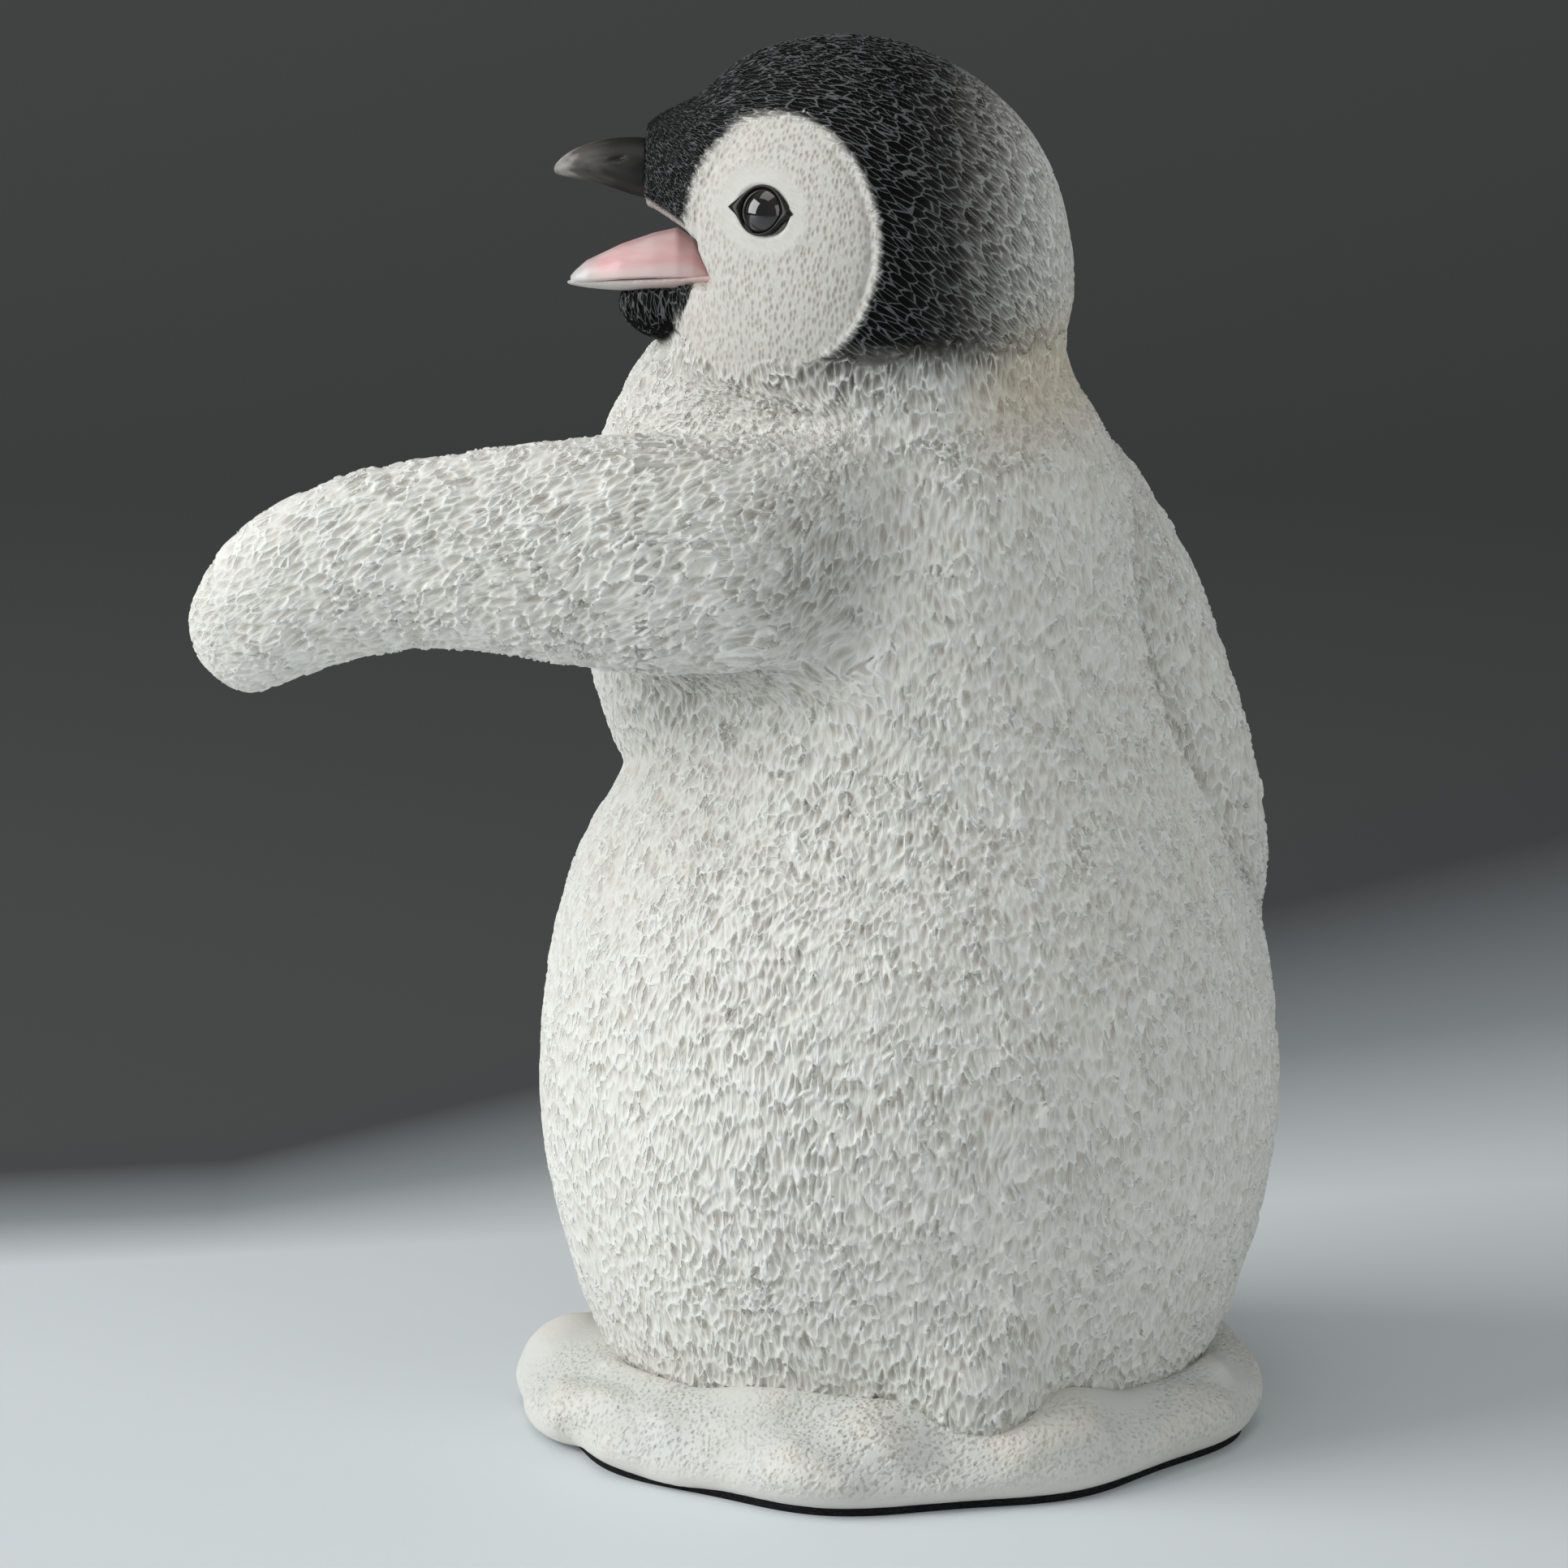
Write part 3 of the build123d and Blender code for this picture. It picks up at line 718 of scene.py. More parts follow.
        from_eye = np.hypot(x - self.eye_centre[0], z - self.eye_centre[1])
        face_x, face_z = self.face_centre
        face_wide, face_tall = self.face_half
        oval = np.hypot((x - face_x) / face_wide, (z - face_z) / face_tall)
        cheek = np.hypot((x - 26.0) / 8.5, (z - 187.0) / 9.2)
        chin_line = 34.0 - 0.6 * (z - 181.4)
        soft = self.face_softness
        past_chin = np.maximum(0.0, x - chin_line) * 4.0
        edge = soft * np.logaddexp((1.0 - oval) / soft, (1.0 - cheek) / soft - past_chin)
        face = smooth_step(-0.06, 0.05, edge - 0.04 * fringe) * (z > 174.0)
        around_eye = smooth_step(5.5, 9.0, from_eye)
        welt = np.exp(-((oval - 1.0) / 0.03) ** 2) * smooth_step(22.0, 13.0, x) * on_head
        beside = np.maximum(smooth_step(22.0, 27.0, x), smooth_step(13.0, 7.0, x))
        beside = beside * smooth_step(186.0, 192.0, z)
        crease = np.exp(-((oval - 0.91) / 0.022) ** 2) * beside * on_head

        hood = np.interp(x, (-32.0, -26.4, -23.1, -16.5, -9.8, -3.0, 2.0),
                         (0.04, 0.26, 0.5, 0.82, 0.975, 1.0, 1.0))
        hood = hood * smooth_step(172.0, 184.0, z + 1.0 * fringe) * (1.0 - face)
        throat = smooth_step(186.0, 178.0, z) * smooth_step(6.0, 22.0, x)
        hood = hood * (1.0 - throat)
        chin = smooth_step(-0.8, 0.8, x - chin_line + 0.6 * fringe) * smooth_step(176.0, 180.0, z)
        chin = chin * (z < 193.0)
        hood = np.maximum(hood, chin * smooth_step(32.0, 34.5, x))
        # Painted shade: the down is darkened below the face at the throat, under the hood's edge, at the
        # raised flipper's root, on the flank beneath it, near the snow and along the folded flipper's crease.
        throat_shade = np.exp(-((z - 177.0) / 5.0) ** 2) * smooth_step(-8.0, 12.0, x) * smooth_step(42.0, 30.0, x)
        throat_shade = 0.8 * throat_shade * (1.0 - face)
        collar_shade = 0.2 * np.exp(-((z - 172.0) / 10.0) ** 2) * (1.0 - on_head)
        root_shade = 0.75 * np.exp(-((x - 11.0) / 10.0) ** 2 - ((z - 147.0) / 16.0) ** 2) * (y > 15.0)
        flank_shade = 0.6 * np.exp(-((x - 34.0) / 9.0) ** 2 - ((z - 124.0) / 10.0) ** 2)
        foot_shade = 0.3 * smooth_step(40.0, 16.0, z)
        line = np.interp(z, (88.3, 102.8, 114.6, 127.2, 144.5, 151.0),
                         (-59.6, -53.4, -47.3, -42.8, -39.3, -40.1))
        off = x - line
        beyond = smooth_step(1.1, -1.1, off)
        beside_back = smooth_step(-9.0, -3.0, y) * smooth_step(84.0, 92.0, z)
        beside_back = beside_back * smooth_step(158.0, 146.0, z) * (x < -25.0)
        inside_fold = np.minimum(off, 0.0)
        fold_shade = 0.7 * np.exp(inside_fold / 2.5) + 0.25 * np.exp(inside_fold / 10.0)
        fold_shade = fold_shade * beyond * beside_back
        # The shade mask gathers all of this painted shade.
        shade = np.max((throat_shade, collar_shade, root_shade, flank_shade, foot_shade, fold_shade), axis=0)
        warm = np.exp(-((z - 176.0) / 9.0) ** 2) * smooth_step(-8.0, -22.0, x)
        palate = np.interp(x, (27.4, 31.1, 37.7, 40.0), (190.4, 198.2, 201.9, 203.0))
        gape = smooth_step(1.1, 0.4, np.abs(z - palate)) * smooth_step(27.4, 28.4, x) * (np.abs(y) < 14.0)

        clump = Chance.swell(places, 6.5, 21) - 0.5
        ones = np.ones_like(pile)
        body_relief = self.body_relief * (0.7 + 0.6 * Chance.swell(places, 11.0, 22))
        relief = blend(body_relief, self.head_relief * ones, on_head)
        relief = relief * blend(ones, 0.15 * ones, face) * around_eye * (1.0 - 0.9 * gape)
        worn_flank = smooth_step(15.0, 45.0, x) * smooth_step(130.0, 115.0, z)
        worn = np.maximum(worn_flank, smooth_step(84.0, 98.0, x))
        relief = relief * (1.0 - 0.4 * worn)
        rise = relief * (pile - 0.55) + 0.5 * clump * (1.0 - on_head)
        rise = rise + 0.5 * welt - 0.4 * crease
        step = blend(0.9 * np.exp(-np.maximum(off, 0.0) / 6.0), -3.6 * np.exp(inside_fold / 6.0), beyond)
        rise = rise + step * beside_back * smooth_step(88.0, 104.0, z)
        socket = smooth_step(self.eye_radius + 0.4, self.eye_radius - 0.3, from_eye) * on_head
        socket = socket * (np.abs(y) > 10.0)
        rise = rise + 0.1 * np.exp(-((from_eye - 7.0) / 0.9) ** 2) * on_head - self.socket_depth * socket
        MeshWork.move_to(mesh, places + normals * rise[:, None])

        masks = {Mask.HOOD: hood, Mask.FACE: face, Mask.LID: around_eye, Mask.WARM: warm, Mask.SHADE: shade,
                 Mask.GAPE: gape, Mask.SEAM: calm, Mask.BROKEN: broken}
        for mask, values in masks.items():
            MeshWork.carry(mesh, mask, values)
        MeshWork.carry_flow(mesh, flow)

    def on_raised_flipper(self, middle: Vector) -> bool:
        """Whether a face's middle is on the raised flipper beyond its root."""
        beyond = middle.x > self.flipper_cut_x
        return beyond and (middle.x > 62.0 or (middle.y > 17.0 and 112.0 < middle.z < 176.0))

    def on_folded_flipper(self, middle: Vector) -> bool:
        """Whether a face's middle is on the folded flipper."""
        return middle.x < -20.0 and 79.0 < middle.z < 163.0 and bool(self.folded(middle.y, middle.z) > 5.0)

    def score_root(self, shape: Shape) -> None:
        """Draws a straight line of edges round the raised flipper where it is parted."""
        root = Vector((self.flipper_cut_x * MM, 0.0, 0.0))
        near = [face for face in shape.faces if abs(face.calc_center_median().x - root.x) < 3.0 * MM]
        faces = [face for face in near if face.calc_center_median().y > 17.0 * MM]
        edges = list({edge for face in faces for edge in face.edges})
        verts = list({vert for face in faces for vert in face.verts})
        bmesh.ops.bisect_plane(shape, geom=verts + edges + faces, dist=MERGE_DISTANCE, plane_co=root,
                               plane_no=Vector((1.0, 0.0, 0.0)))

    def part(self, skin: bpy.types.Object) -> dict[str, bpy.types.Object]:
        """Parts the skin into its castings.

        Args:
            skin: The whole skin, which is removed.

        Returns:
            The pieces by name.
        """
        whole = bmesh.new()
        whole.from_mesh(skin.data)
        up = Vector((0.0, 0.0, 1.0))
        behind = Vector((0.0, 1.0, 0.0))
        shapes = {}
        shapes["head_down"], torso = MeshWork.halves(whole, NECK_LEVEL * MM * up, up)
        self.score_root(torso)
        inward = Vector((self.tenon, 0.0, 0.0))
        shapes["left_flipper_down"] = MeshWork.take(torso, self.on_raised_flipper, -inward)
        shapes["right_flipper_down"] = MeshWork.take(torso, self.on_folded_flipper, inward)
        back, front = MeshWork.halves(torso, self.part_y * MM * behind, behind)
        for side, rest in (("back", back), ("front", front)):
            for name, level in self.part_levels:
                shapes[f"{side}_{name}_down"], rest = MeshWork.halves(rest, level * MM * up, up)
            shapes[f"{side}_hem_down"] = rest
        pieces = {name: MeshWork.placed(shape, name) for name, shape in shapes.items()}
        spent = skin.data
        bpy.data.objects.remove(skin)
        bpy.data.meshes.remove(spent)
        return pieces


@dataclass
class Eyes:
    """Glass eyes with their dark lids.

    Attributes:
        radius: Radius of the glass.
        dome: Height of its domed part.
        height: Height of the whole glass.
        segments: Facets round an eye.
        steps: Facets from the top of the dome to its edge.
        head_radius: Radius of the head under the lids.
        corners: Direction of each corner of the lids in degrees, and its reach beyond the glass.
    """

    radius: float = 3.9 * MM
    dome: float = 2.5 * MM
    height: float = 5.1 * MM
    segments: int = 96
    steps: int = 14
    head_radius: float = 33.0 * MM
    corners: tuple[Pair, ...] = ((11.25, 2.2 * MM), (191.25, 1.9 * MM))

    def facing(self, node: bpy.types.Object) -> Matrix:
        """Place of an eye, with its own z axis out of the head and its x axis forward.

        Args:
            node: Solid of the eye.

        Returns:
            Matrix from the eye's own place to the figure's frame.
        """
        back = max(node.data.polygons, key=lambda face: face.area)
        out = -back.normal
        flat = [vert.co for vert in node.data.vertices if abs((vert.co - back.center).dot(out)) < 0.01 * MM]
        middle = sum(flat, Vector()) / len(flat)
        upward = Vector((0.0, 0.0, 1.0))
        forward = (Vector((1.0, 0.0, 0.0)) - out * out.x).normalized()
        upward = (upward - out * out.z - forward * forward.z).normalized()
        turn = Matrix((forward, upward, out)).transposed().to_4x4()
        return Matrix.Translation(middle) @ turn

    def glass(self, node: bpy.types.Object, name: str) -> bpy.types.Object:
        """Domed glass eye, a cap of a ball on a straight girdle.

        Args:
            node: Solid of the eye.
            name: Name of the piece.

        Returns:
            The eye.
        """
        ball = (self.radius ** 2 + self.dome ** 2) / (2.0 * self.dome)
        reach = math.asin(self.radius / ball)
        shape = bmesh.new()
        turns = [reach * step / self.steps for step in range(self.steps + 1)]
        outline = [(ball * math.sin(turn), self.height - ball + ball * math.cos(turn)) for turn in turns]
        outline += [(self.radius, 0.0), (0.0, 0.0)]
        verts = [shape.verts.new((across, 0.0, level)) for across, level in outline]
        edges = [shape.edges.new(pair) for pair in zip(verts, verts[1:])]
        bmesh.ops.spin(shape, geom=verts + edges, cent=(0, 0, 0), axis=(0, 0, 1), angle=2 * math.pi,
                       steps=self.segments, use_merge=True)
        bmesh.ops.remove_doubles(shape, verts=shape.verts, dist=MERGE_DISTANCE)
        bmesh.ops.recalc_face_normals(shape, faces=shape.faces)
        ring = np.array([math.hypot(vert.co.x, vert.co.y) / self.radius for vert in shape.verts])
        shape.transform(self.facing(node))
        piece = MeshWork.placed(shape, name)
        MeshWork.carry(piece.data, Mask.RING, ring)
        return piece

    def drawn_out(self, turn: float, side: float, length: float) -> float:
        """How far a lid is drawn out near a corner: straight above it, quickly rounded below it.

        Args:
            turn: Direction from the middle of the eye.
            side: Direction of the corner.
            length: How far the corner reaches beyond the glass.

        Returns:
            Reach beyond the glass.
        """
        above = math.remainder(turn - side, 2.0 * math.pi) * math.copysign(1.0, math.cos(side))
        touch = math.acos(self.radius / (self.radius + length))
        if above < 0.0:
            return length * math.exp(-(-above / 0.2) ** 1.2)
        return self.radius / math.cos(max(touch - above, 0.0)) - self.radius

    def lids(self, node: bpy.types.Object, name: str) -> bpy.types.Object:
        """Dark rim round an eye, drawn out to a point in front and behind.

        Args:
            node: Solid of the eye.
            name: Name of the piece.

        Returns:
            The rim.
        """
        shape = bmesh.new()
        loops = []
        for grow, level, drawn in ((-0.25, 3.35, 0.0), (-0.1, 3.6, 0.5), (0.1, 3.5, 1.0), (0.15, 2.2, 1.0),
                                   (-0.25, 2.2, 0.0)):
            verts = bmesh.ops.create_circle(shape, segments=self.segments, radius=1.0)["verts"]
            for vert in verts:
                turn = math.atan2(vert.co.y, vert.co.x)
                upper = max(0.0, math.sin(turn))
                point = max(self.drawn_out(turn, math.radians(side), length) for side, length in self.corners)
                reach = self.radius + (grow + 0.1 * upper * drawn) * MM + point * drawn
                sag = (reach ** 2 - self.radius ** 2) / (2.0 * self.head_radius)
                vert.co = Vector((reach * math.cos(turn), reach * math.sin(turn), level * MM - sag))
            inside = set(verts)
            loops.append([edge for edge in shape.edges if inside.issuperset(edge.verts)])
        for first, second in zip(loops, loops[1:] + loops[:1]):
            bmesh.ops.bridge_loops(shape, edges=first + second)
        bmesh.ops.recalc_face_normals(shape, faces=shape.faces)
        shape.transform(self.facing(node))
        return MeshWork.placed(shape, name)


@dataclass
class Bill:
    """Upper bill, lower bill and tongue.

    Attributes:
        voxel: Size of the quads of the bill.
        tongue_front: Tip of the tongue along x, in millimetres.
        tongue_rear: Root of the tongue along x, in millimetres.
    """

    voxel: float = 0.32 * MM
    tongue_front: float = 51.0
    tongue_rear: float = 27.6

    def build(self, nodes: Nodes, node: str) -> bpy.types.Object:
        """Smooth casting of one of the solids.

        Args:
            nodes: Objects of the solids.
            node: Name of the solid.

        Returns:
            The casting.
        """
        piece = MeshWork.placed(MeshWork.merged_copy(nodes[node]), node + "_cast")
        MeshWork.remesh(piece, self.voxel)
        MeshWork.outer_shell(piece)
        MeshWork.relax(piece, 8)
        return piece

    def nostrils(self, piece: bpy.types.Object) -> None:
        """Presses a slit into each side of the upper bill."""
        places = MeshWork.places(piece.data)
        normals = MeshWork.normals(piece.data)
        along = (places[:, 0] - 43.2) / 1.1
        level = (places[:, 2] - 209.0 + 0.25 * (places[:, 0] - 43.2)) / 0.35
        slit = np.exp(-along ** 2 - level ** 2)
        MeshWork.move_to(piece.data, places - normals * (0.45 * slit)[:, None])

    def tongue(self) -> bpy.types.Object:
        """Tongue that fills the lower bill, highest at the back and falling straight to the tip.

        Returns:
            The tongue, with its height above the lip as a mask.
        """
        shape = bmesh.new()
        bmesh.ops.create_uvsphere(shape, u_segments=72, v_segments=64, radius=1.0,
                                  matrix=Matrix.Rotation(math.pi / 2, 4, "Y"))
        piece = MeshWork.placed(shape, "tongue_cast")
        along, aside, above = (MeshWork.places(piece.data) * MM).T
        around = np.maximum(np.sqrt(np.clip(1.0 - along ** 2, 0.0, 1.0)), 1e-4)
        x = (self.tongue_front + self.tongue_rear) / 2 + (self.tongue_front - self.tongue_rear) / 2 * along
        stations = (27.6, 29.5, 31.1, 33.7, 37.6, 42.8, 48.4, 50.2, 51.0)
        top = np.interp(x, stations, (190.3, 193.0, 195.3, 197.3, 196.4, 194.6, 191.9, 190.3, 189.4))
        lip = np.interp(x, stations, (189.9, 190.2, 190.3, 190.3, 190.3, 190.0, 189.3, 189.1, 188.9))
        half = np.interp(x, stations, (5.0, 6.6, 7.2, 7.2, 6.6, 5.4, 3.2, 1.8, 0.6))
        share = np.clip(above / around, -1.0, 1.0)
        side = np.clip(aside / around, -1.0, 1.0)
        groove = 0.55 * np.exp(-(side / 0.16) ** 2) * smooth_step(50.0, 44.0, x) * (share > 0.0)
        z = lip + np.where(share > 0.0, (top - lip) * share, 1.0 * share) - groove
        MeshWork.move_to(piece.data, np.stack((x, half * side, z), axis=1))
        MeshWork.carry(piece.data, Mask.RING, np.clip(share, 0.0, 1.0))
        return piece


@dataclass
class Feet:
    """Feet below the belly.

    Attributes:
        voxel: Size of the quads before they are divided.
        scale_size: Size of a scale, in millimetres.
    """

    voxel: float = 0.55 * MM
    scale_size: float = 1.6

    def build(self, nodes: Nodes, node: str) -> bpy.types.Object:
        """Foot with a scaly skin.

        Args:
            nodes: Objects of the solids.
            node: Name of the solid.

        Returns:
            The foot.
        """
        piece = MeshWork.placed(MeshWork.merged_copy(nodes[node]), node + "_cast")
        MeshWork.remesh(piece, self.voxel)
        MeshWork.relax(piece, 6)
        MeshWork.refine(piece)
        places = MeshWork.places(piece.data)
        scales = Scoops.at(places / self.scale_size)
        pile = smooth_step(0.0, 0.2, scales.edge)
        MeshWork.move_to(piece.data, places + MeshWork.normals(piece.data) * (0.3 * (pile - 0.6))[:, None])
        MeshWork.carry(piece.data, Mask.PILE, pile)
        return piece


@dataclass
class SnowBase:
    """Lumpy snow underfoot. All lengths but the voxel are in millimetres.

    Attributes:
        voxel: Size of the quads before they are divided.
        puff: Size of a puff.
        puff_height: Height of a puff above its hollows.
        seat_rise: How far the snow rises round the figure.
        pore: Size of a pore.
        skirt: How far the lower rim is drawn down.
        bulge: How far the side swells.
        lumps: Middle and half sizes of the lumps added at the rim.
    """

    voxel: float = 1.15 * MM
    puff: float = 24.0
    puff_height: float = 2.4
    seat_rise: float = 3.0
    pore: float = 1.3
    skirt: float = 1.3
    bulge: float = 1.6
    lumps: tuple[tuple[Triple, Triple], ...] = (((47.5, 8.0, 5.8), (12.0, 22.0, 8.7)),
                                                ((29.0, 36.0, 4.0), (12.5, 14.5, 6.5)),
                                                ((-50.0, -6.0, 5.5), (11.0, 22.0, 9.0)))

    def build(self, nodes: Nodes) -> bpy.types.Object:
        """Snow with soft puffs, hollows and pores.

        Args:
            nodes: Objects of the solids.

        Returns:
            The base.
        """
        shape = MeshWork.merged_copy(nodes["snow_base"])
        low = min(vert.co.z for vert in shape.verts) / MM
        for place, size in self.lumps:
            stretch = Matrix.LocRotScale(Vector(place) * MM, None, Vector(size) * MM)
            bmesh.ops.create_icosphere(shape, subdivisions=4, radius=1.0, matrix=stretch)
        piece = MeshWork.placed(shape, "snow")
        MeshWork.remesh(piece, self.voxel)
        MeshWork.outer_shell(piece)
        MeshWork.relax(piece, 10)
        places = MeshWork.places(piece.data)
        places[:, 2] = np.maximum(places[:, 2], low)
        MeshWork.move_to(piece.data, places)
        hollow = self.heap(piece.data)
        MeshWork.relax(piece, 12)
        # The hollows between the puffs carry the snow's painted shade.
        MeshWork.carry(piece.data, Mask.HOLLOW, hollow)
        MeshWork.refine(piece)
        places = MeshWork.places(piece.data)
        x, y, z = places.T
        patches = 0.7 * smooth_step(0.42, 0.64, Chance.swell(places, 17.0, 43))
        front = np.exp(-((x + 2.0) / 30.0) ** 2) * smooth_step(35.0, 52.0, y)
        porous = np.clip(np.maximum(patches, front), 0.0, 1.0) * smooth_step(2.0, 6.0, z)
        pores = Scoops.at(places / self.pore)
        pits = smooth_step(0.16, 0.34, pores.edge) * porous
        MeshWork.move_to(piece.data, places - MeshWork.normals(piece.data) * (0.28 * pits)[:, None])
        MeshWork.carry(piece.data, Mask.PILE, 1.0 - pits)
        MeshWork.carry(piece.data, Mask.POROUS, porous)
        return piece

    def heap(self, mesh: bpy.types.Mesh) -> np.ndarray:
        """Heaps the snow into soft puffs round the seat of the figure.

        Args:
            mesh: Mesh of the base.

        Returns:
            How far each vertex lies in a hollow, from 0 to 1.
        """
        places = MeshWork.places(mesh)
        normals = MeshWork.normals(mesh)
        x, y, z = places.T
        above = smooth_step(2.0, 7.0, z)
        billow = smooth_step(0.0, 0.3, Scoops.at(places / self.puff + 0.4).edge)
        small = Chance.swell(places, 7.0, 42) - 0.5
        from_seat = np.hypot((x + 4.0) / 50.0, (y + 4.0) / 50.0)
        puffs = self.puff_height * (billow - 0.75) * smooth_step(1.0, 1.2, from_seat)
        moved = places + normals * ((puffs + 0.8 * small) * above)[:, None]
        sideways = smooth_step(0.15, 0.6, np.hypot(normals[:, 0], normals[:, 1]))
        moved[:, 2] -= self.skirt * smooth_step(6.0, 1.5, z) * sideways
        flare = 0.8 * smooth_step(7.0, 3.0, z) + self.bulge * np.exp(-((z - 6.5) / 3.0) ** 2)
        moved[:, :2] += normals[:, :2] * (flare * sideways)[:, None]
        seat = smooth_step(1.2, 0.98, from_seat)
        dip = np.exp(-((x + 15.0) / 17.0) ** 2 - ((y - 58.0) / 13.0) ** 2)
        seat = seat * smooth_step(36.0, 24.0, np.abs(x + 4.0))
        moved[:, 2] += (self.seat_rise * seat - 2.6 * dip) * smooth_step(3.0, 10.0, z)
        MeshWork.move_to(mesh, moved)
        return smooth_step(0.7, 0.35, billow) * above


class Wiring:
    """Adds nodes to a tree and joins them by the names of their sockets."""

    def __init__(self, tree: bpy.types.NodeTree) -> None:
        """Starts on a tree."""
        self.tree = tree

    def add(self, kind: str, inputs: dict | None = None, **settings) -> bpy.types.Node:
        """Adds a node.

        Args:
            kind: Node type.
            inputs: Values or sockets for its inputs, by name or by number.
            settings: Other properties of the node.

        Returns:
            The node.
        """
        node = self.tree.nodes.new(kind)
        for key, value in settings.items():
            setattr(node, key, value)
        for key, value in (inputs or {}).items():
            if isinstance(value, Socket):
                self.tree.links.new(value, node.inputs[key])
            else:
                node.inputs[key].default_value = value
        return node

    def mask(self, mask: Mask) -> Socket:
        """Reads a value that the mesh carries."""
        return self.add("ShaderNodeAttribute", attribute_name=mask.value).outputs["Fac"]

    def ramp(self, value: Socket, stops: tuple[tuple[float, Colour], ...]) -> Socket:
        """Colours a value by stops.

        Args:
            value: Value to colour.
            stops: Places from 0 to 1 with their colours.

        Returns:
            The colour.
        """
        node = self.add("ShaderNodeValToRGB", {"Fac": value})
        elements = node.color_ramp.elements
        while len(elements) < len(stops):
            elements.new(0.5)
        for element, (place, colour) in zip(elements, stops):
            element.position = place
            element.color = (*colour, 1.0)
        return node.outputs["Color"]

    def mix(self, share: object, first: object, second: object, kind: str = "MIX") -> Socket:
        """Mixes two colours.

        Args:
            share: Share of the second, a number or a socket.
            first: First colour or socket.
            second: Second colour or socket.
            kind: How they mix.

        Returns:
            The mixed colour.
        """
        node = self.add("ShaderNodeMix", data_type="RGBA", blend_type=kind)
        for number, value in ((0, share), (6, first), (7, second)):
            if isinstance(value, Socket):
                self.tree.links.new(value, node.inputs[number])
            else:
                node.inputs[number].default_value = (*value, 1.0) if isinstance(value, tuple) else value
        return node.outputs[2]

    def span(self, value: Socket, low: float, high: float, start: float, end: float) -> Socket:
        """Maps a value from one range to another.

        Args:
            value: Value to map.
            low: Start of its own range.
            high: End of its own range.
            start: Result at low.
            end: Result at high.

        Returns:
            The mapped value.
        """
        ends = {"From Min": low, "From Max": high, "To Min": start, "To Max": end}
        return self.add("ShaderNodeMapRange", {"Value": value, **ends}).outputs["Result"]

    def eased(self, value: Socket, low: float, high: float) -> Socket:
        """Eases a value from 0 at low to 1 at high."""
        node = self.add("ShaderNodeMapRange", {"Value": value, "From Min": low, "From Max": high},
                        interpolation_type="SMOOTHSTEP")
        return node.outputs["Result"]

    def maths(self, kind: str, first: object, second: object) -> Socket:
        """Joins two values, each a number or a socket, by one operation."""
        return self.add("ShaderNodeMath", {0: first, 1: second}, operation=kind).outputs[0]

    def stretched(self, where: Socket, scale: Triple) -> Socket:
        """Scales a position along each axis."""
        return self.add("ShaderNodeMapping", {"Vector": where, "Scale": scale}).outputs[0]

    def join(self, value: Socket, node: bpy.types.Node, name: str) -> None:
        """Joins a value to a node's input."""
        self.tree.links.new(value, node.inputs[name])

    def noise(self, where: Socket, per_metre: float, detail: float = 3.0) -> Socket:
        """Even noise.

        Args:
            where: Position.
            per_metre: Number of features per metre.
            detail: Octaves.

        Returns:
            The noise value.
        """
        node = self.add("ShaderNodeTexNoise", {"Vector": where, "Scale": per_metre, "Detail": detail})
        return node.outputs["Fac"]


@dataclass(frozen=True)
class Finish:
    """Surface of one material.

    Attributes:
        name: Name of the material.
        roughness: Roughness from 0 to 1.
        coat: Clear coat from 0 to 1.
        metallic: 1 for bare metal.
        specular: Strength of the plain reflection.
    """

    name: str
    roughness: float
    coat: float = 0.0
    metallic: float = 0.0
    specular: float = 0.5

    def start(self) -> tuple[bpy.types.Material, Wiring, bpy.types.Node, Socket]:
        """Starts the material.

        Returns:
            The material, its wiring, its shader and the position on the object.
        """
        material = bpy.data.materials.new(self.name)
        material.use_nodes = True
        wiring = Wiring(material.node_tree)
        shader = material.node_tree.nodes["Principled BSDF"]
        shader.inputs["Roughness"].default_value = self.roughness
        shader.inputs["Coat Weight"].default_value = self.coat
        shader.inputs["Metallic"].default_value = self.metallic
        shader.inputs["Specular IOR Level"].default_value = self.specular
        where = wiring.add("ShaderNodeTexCoord").outputs["Object"]
        return material, wiring, shader, where


class Grain:
    """Fine grain that all the painted castings share."""

    def __init__(self) -> None:
        """Builds the node group once."""
        self.group = bpy.data.node_groups.new("cast_grain", "ShaderNodeTree")
        face = self.group.interface
        face.new_socket("Position", in_out="INPUT", socket_type="NodeSocketVector")
        face.new_socket("Grain per metre", in_out="INPUT", socket_type="NodeSocketFloat")
        face.new_socket("Patches", in_out="OUTPUT", socket_type="NodeSocketFloat")
        face.new_socket("Height", in_out="OUTPUT", socket_type="NodeSocketFloat")
        wiring = Wiring(self.group)
        given = wiring.add("NodeGroupInput")
        fine = wiring.add("ShaderNodeTexNoise", {"Vector": given.outputs["Position"],
                                                 "Scale": given.outputs["Grain per metre"], "Detail": 4.0})
        wide = wiring.noise(given.outputs["Position"], 45.0, 2.0)
        result = wiring.add("NodeGroupOutput")
        wiring.join(wide, result, "Patches")
        wiring.join(fine.outputs["Fac"], result, "Height")

    def place(self, wiring: Wiring, where: Socket, per_metre: float) -> bpy.types.Node:
        """Places the group in a material.

        Args:
            wiring: Wiring of the material.
            where: Position.
            per_metre: Fineness of the grain.

        Returns:
            The group node.
        """
        node = wiring.add("ShaderNodeGroup", node_tree=self.group)
        wiring.join(where, node, "Position")
        node.inputs["Grain per metre"].default_value = per_metre
        return node


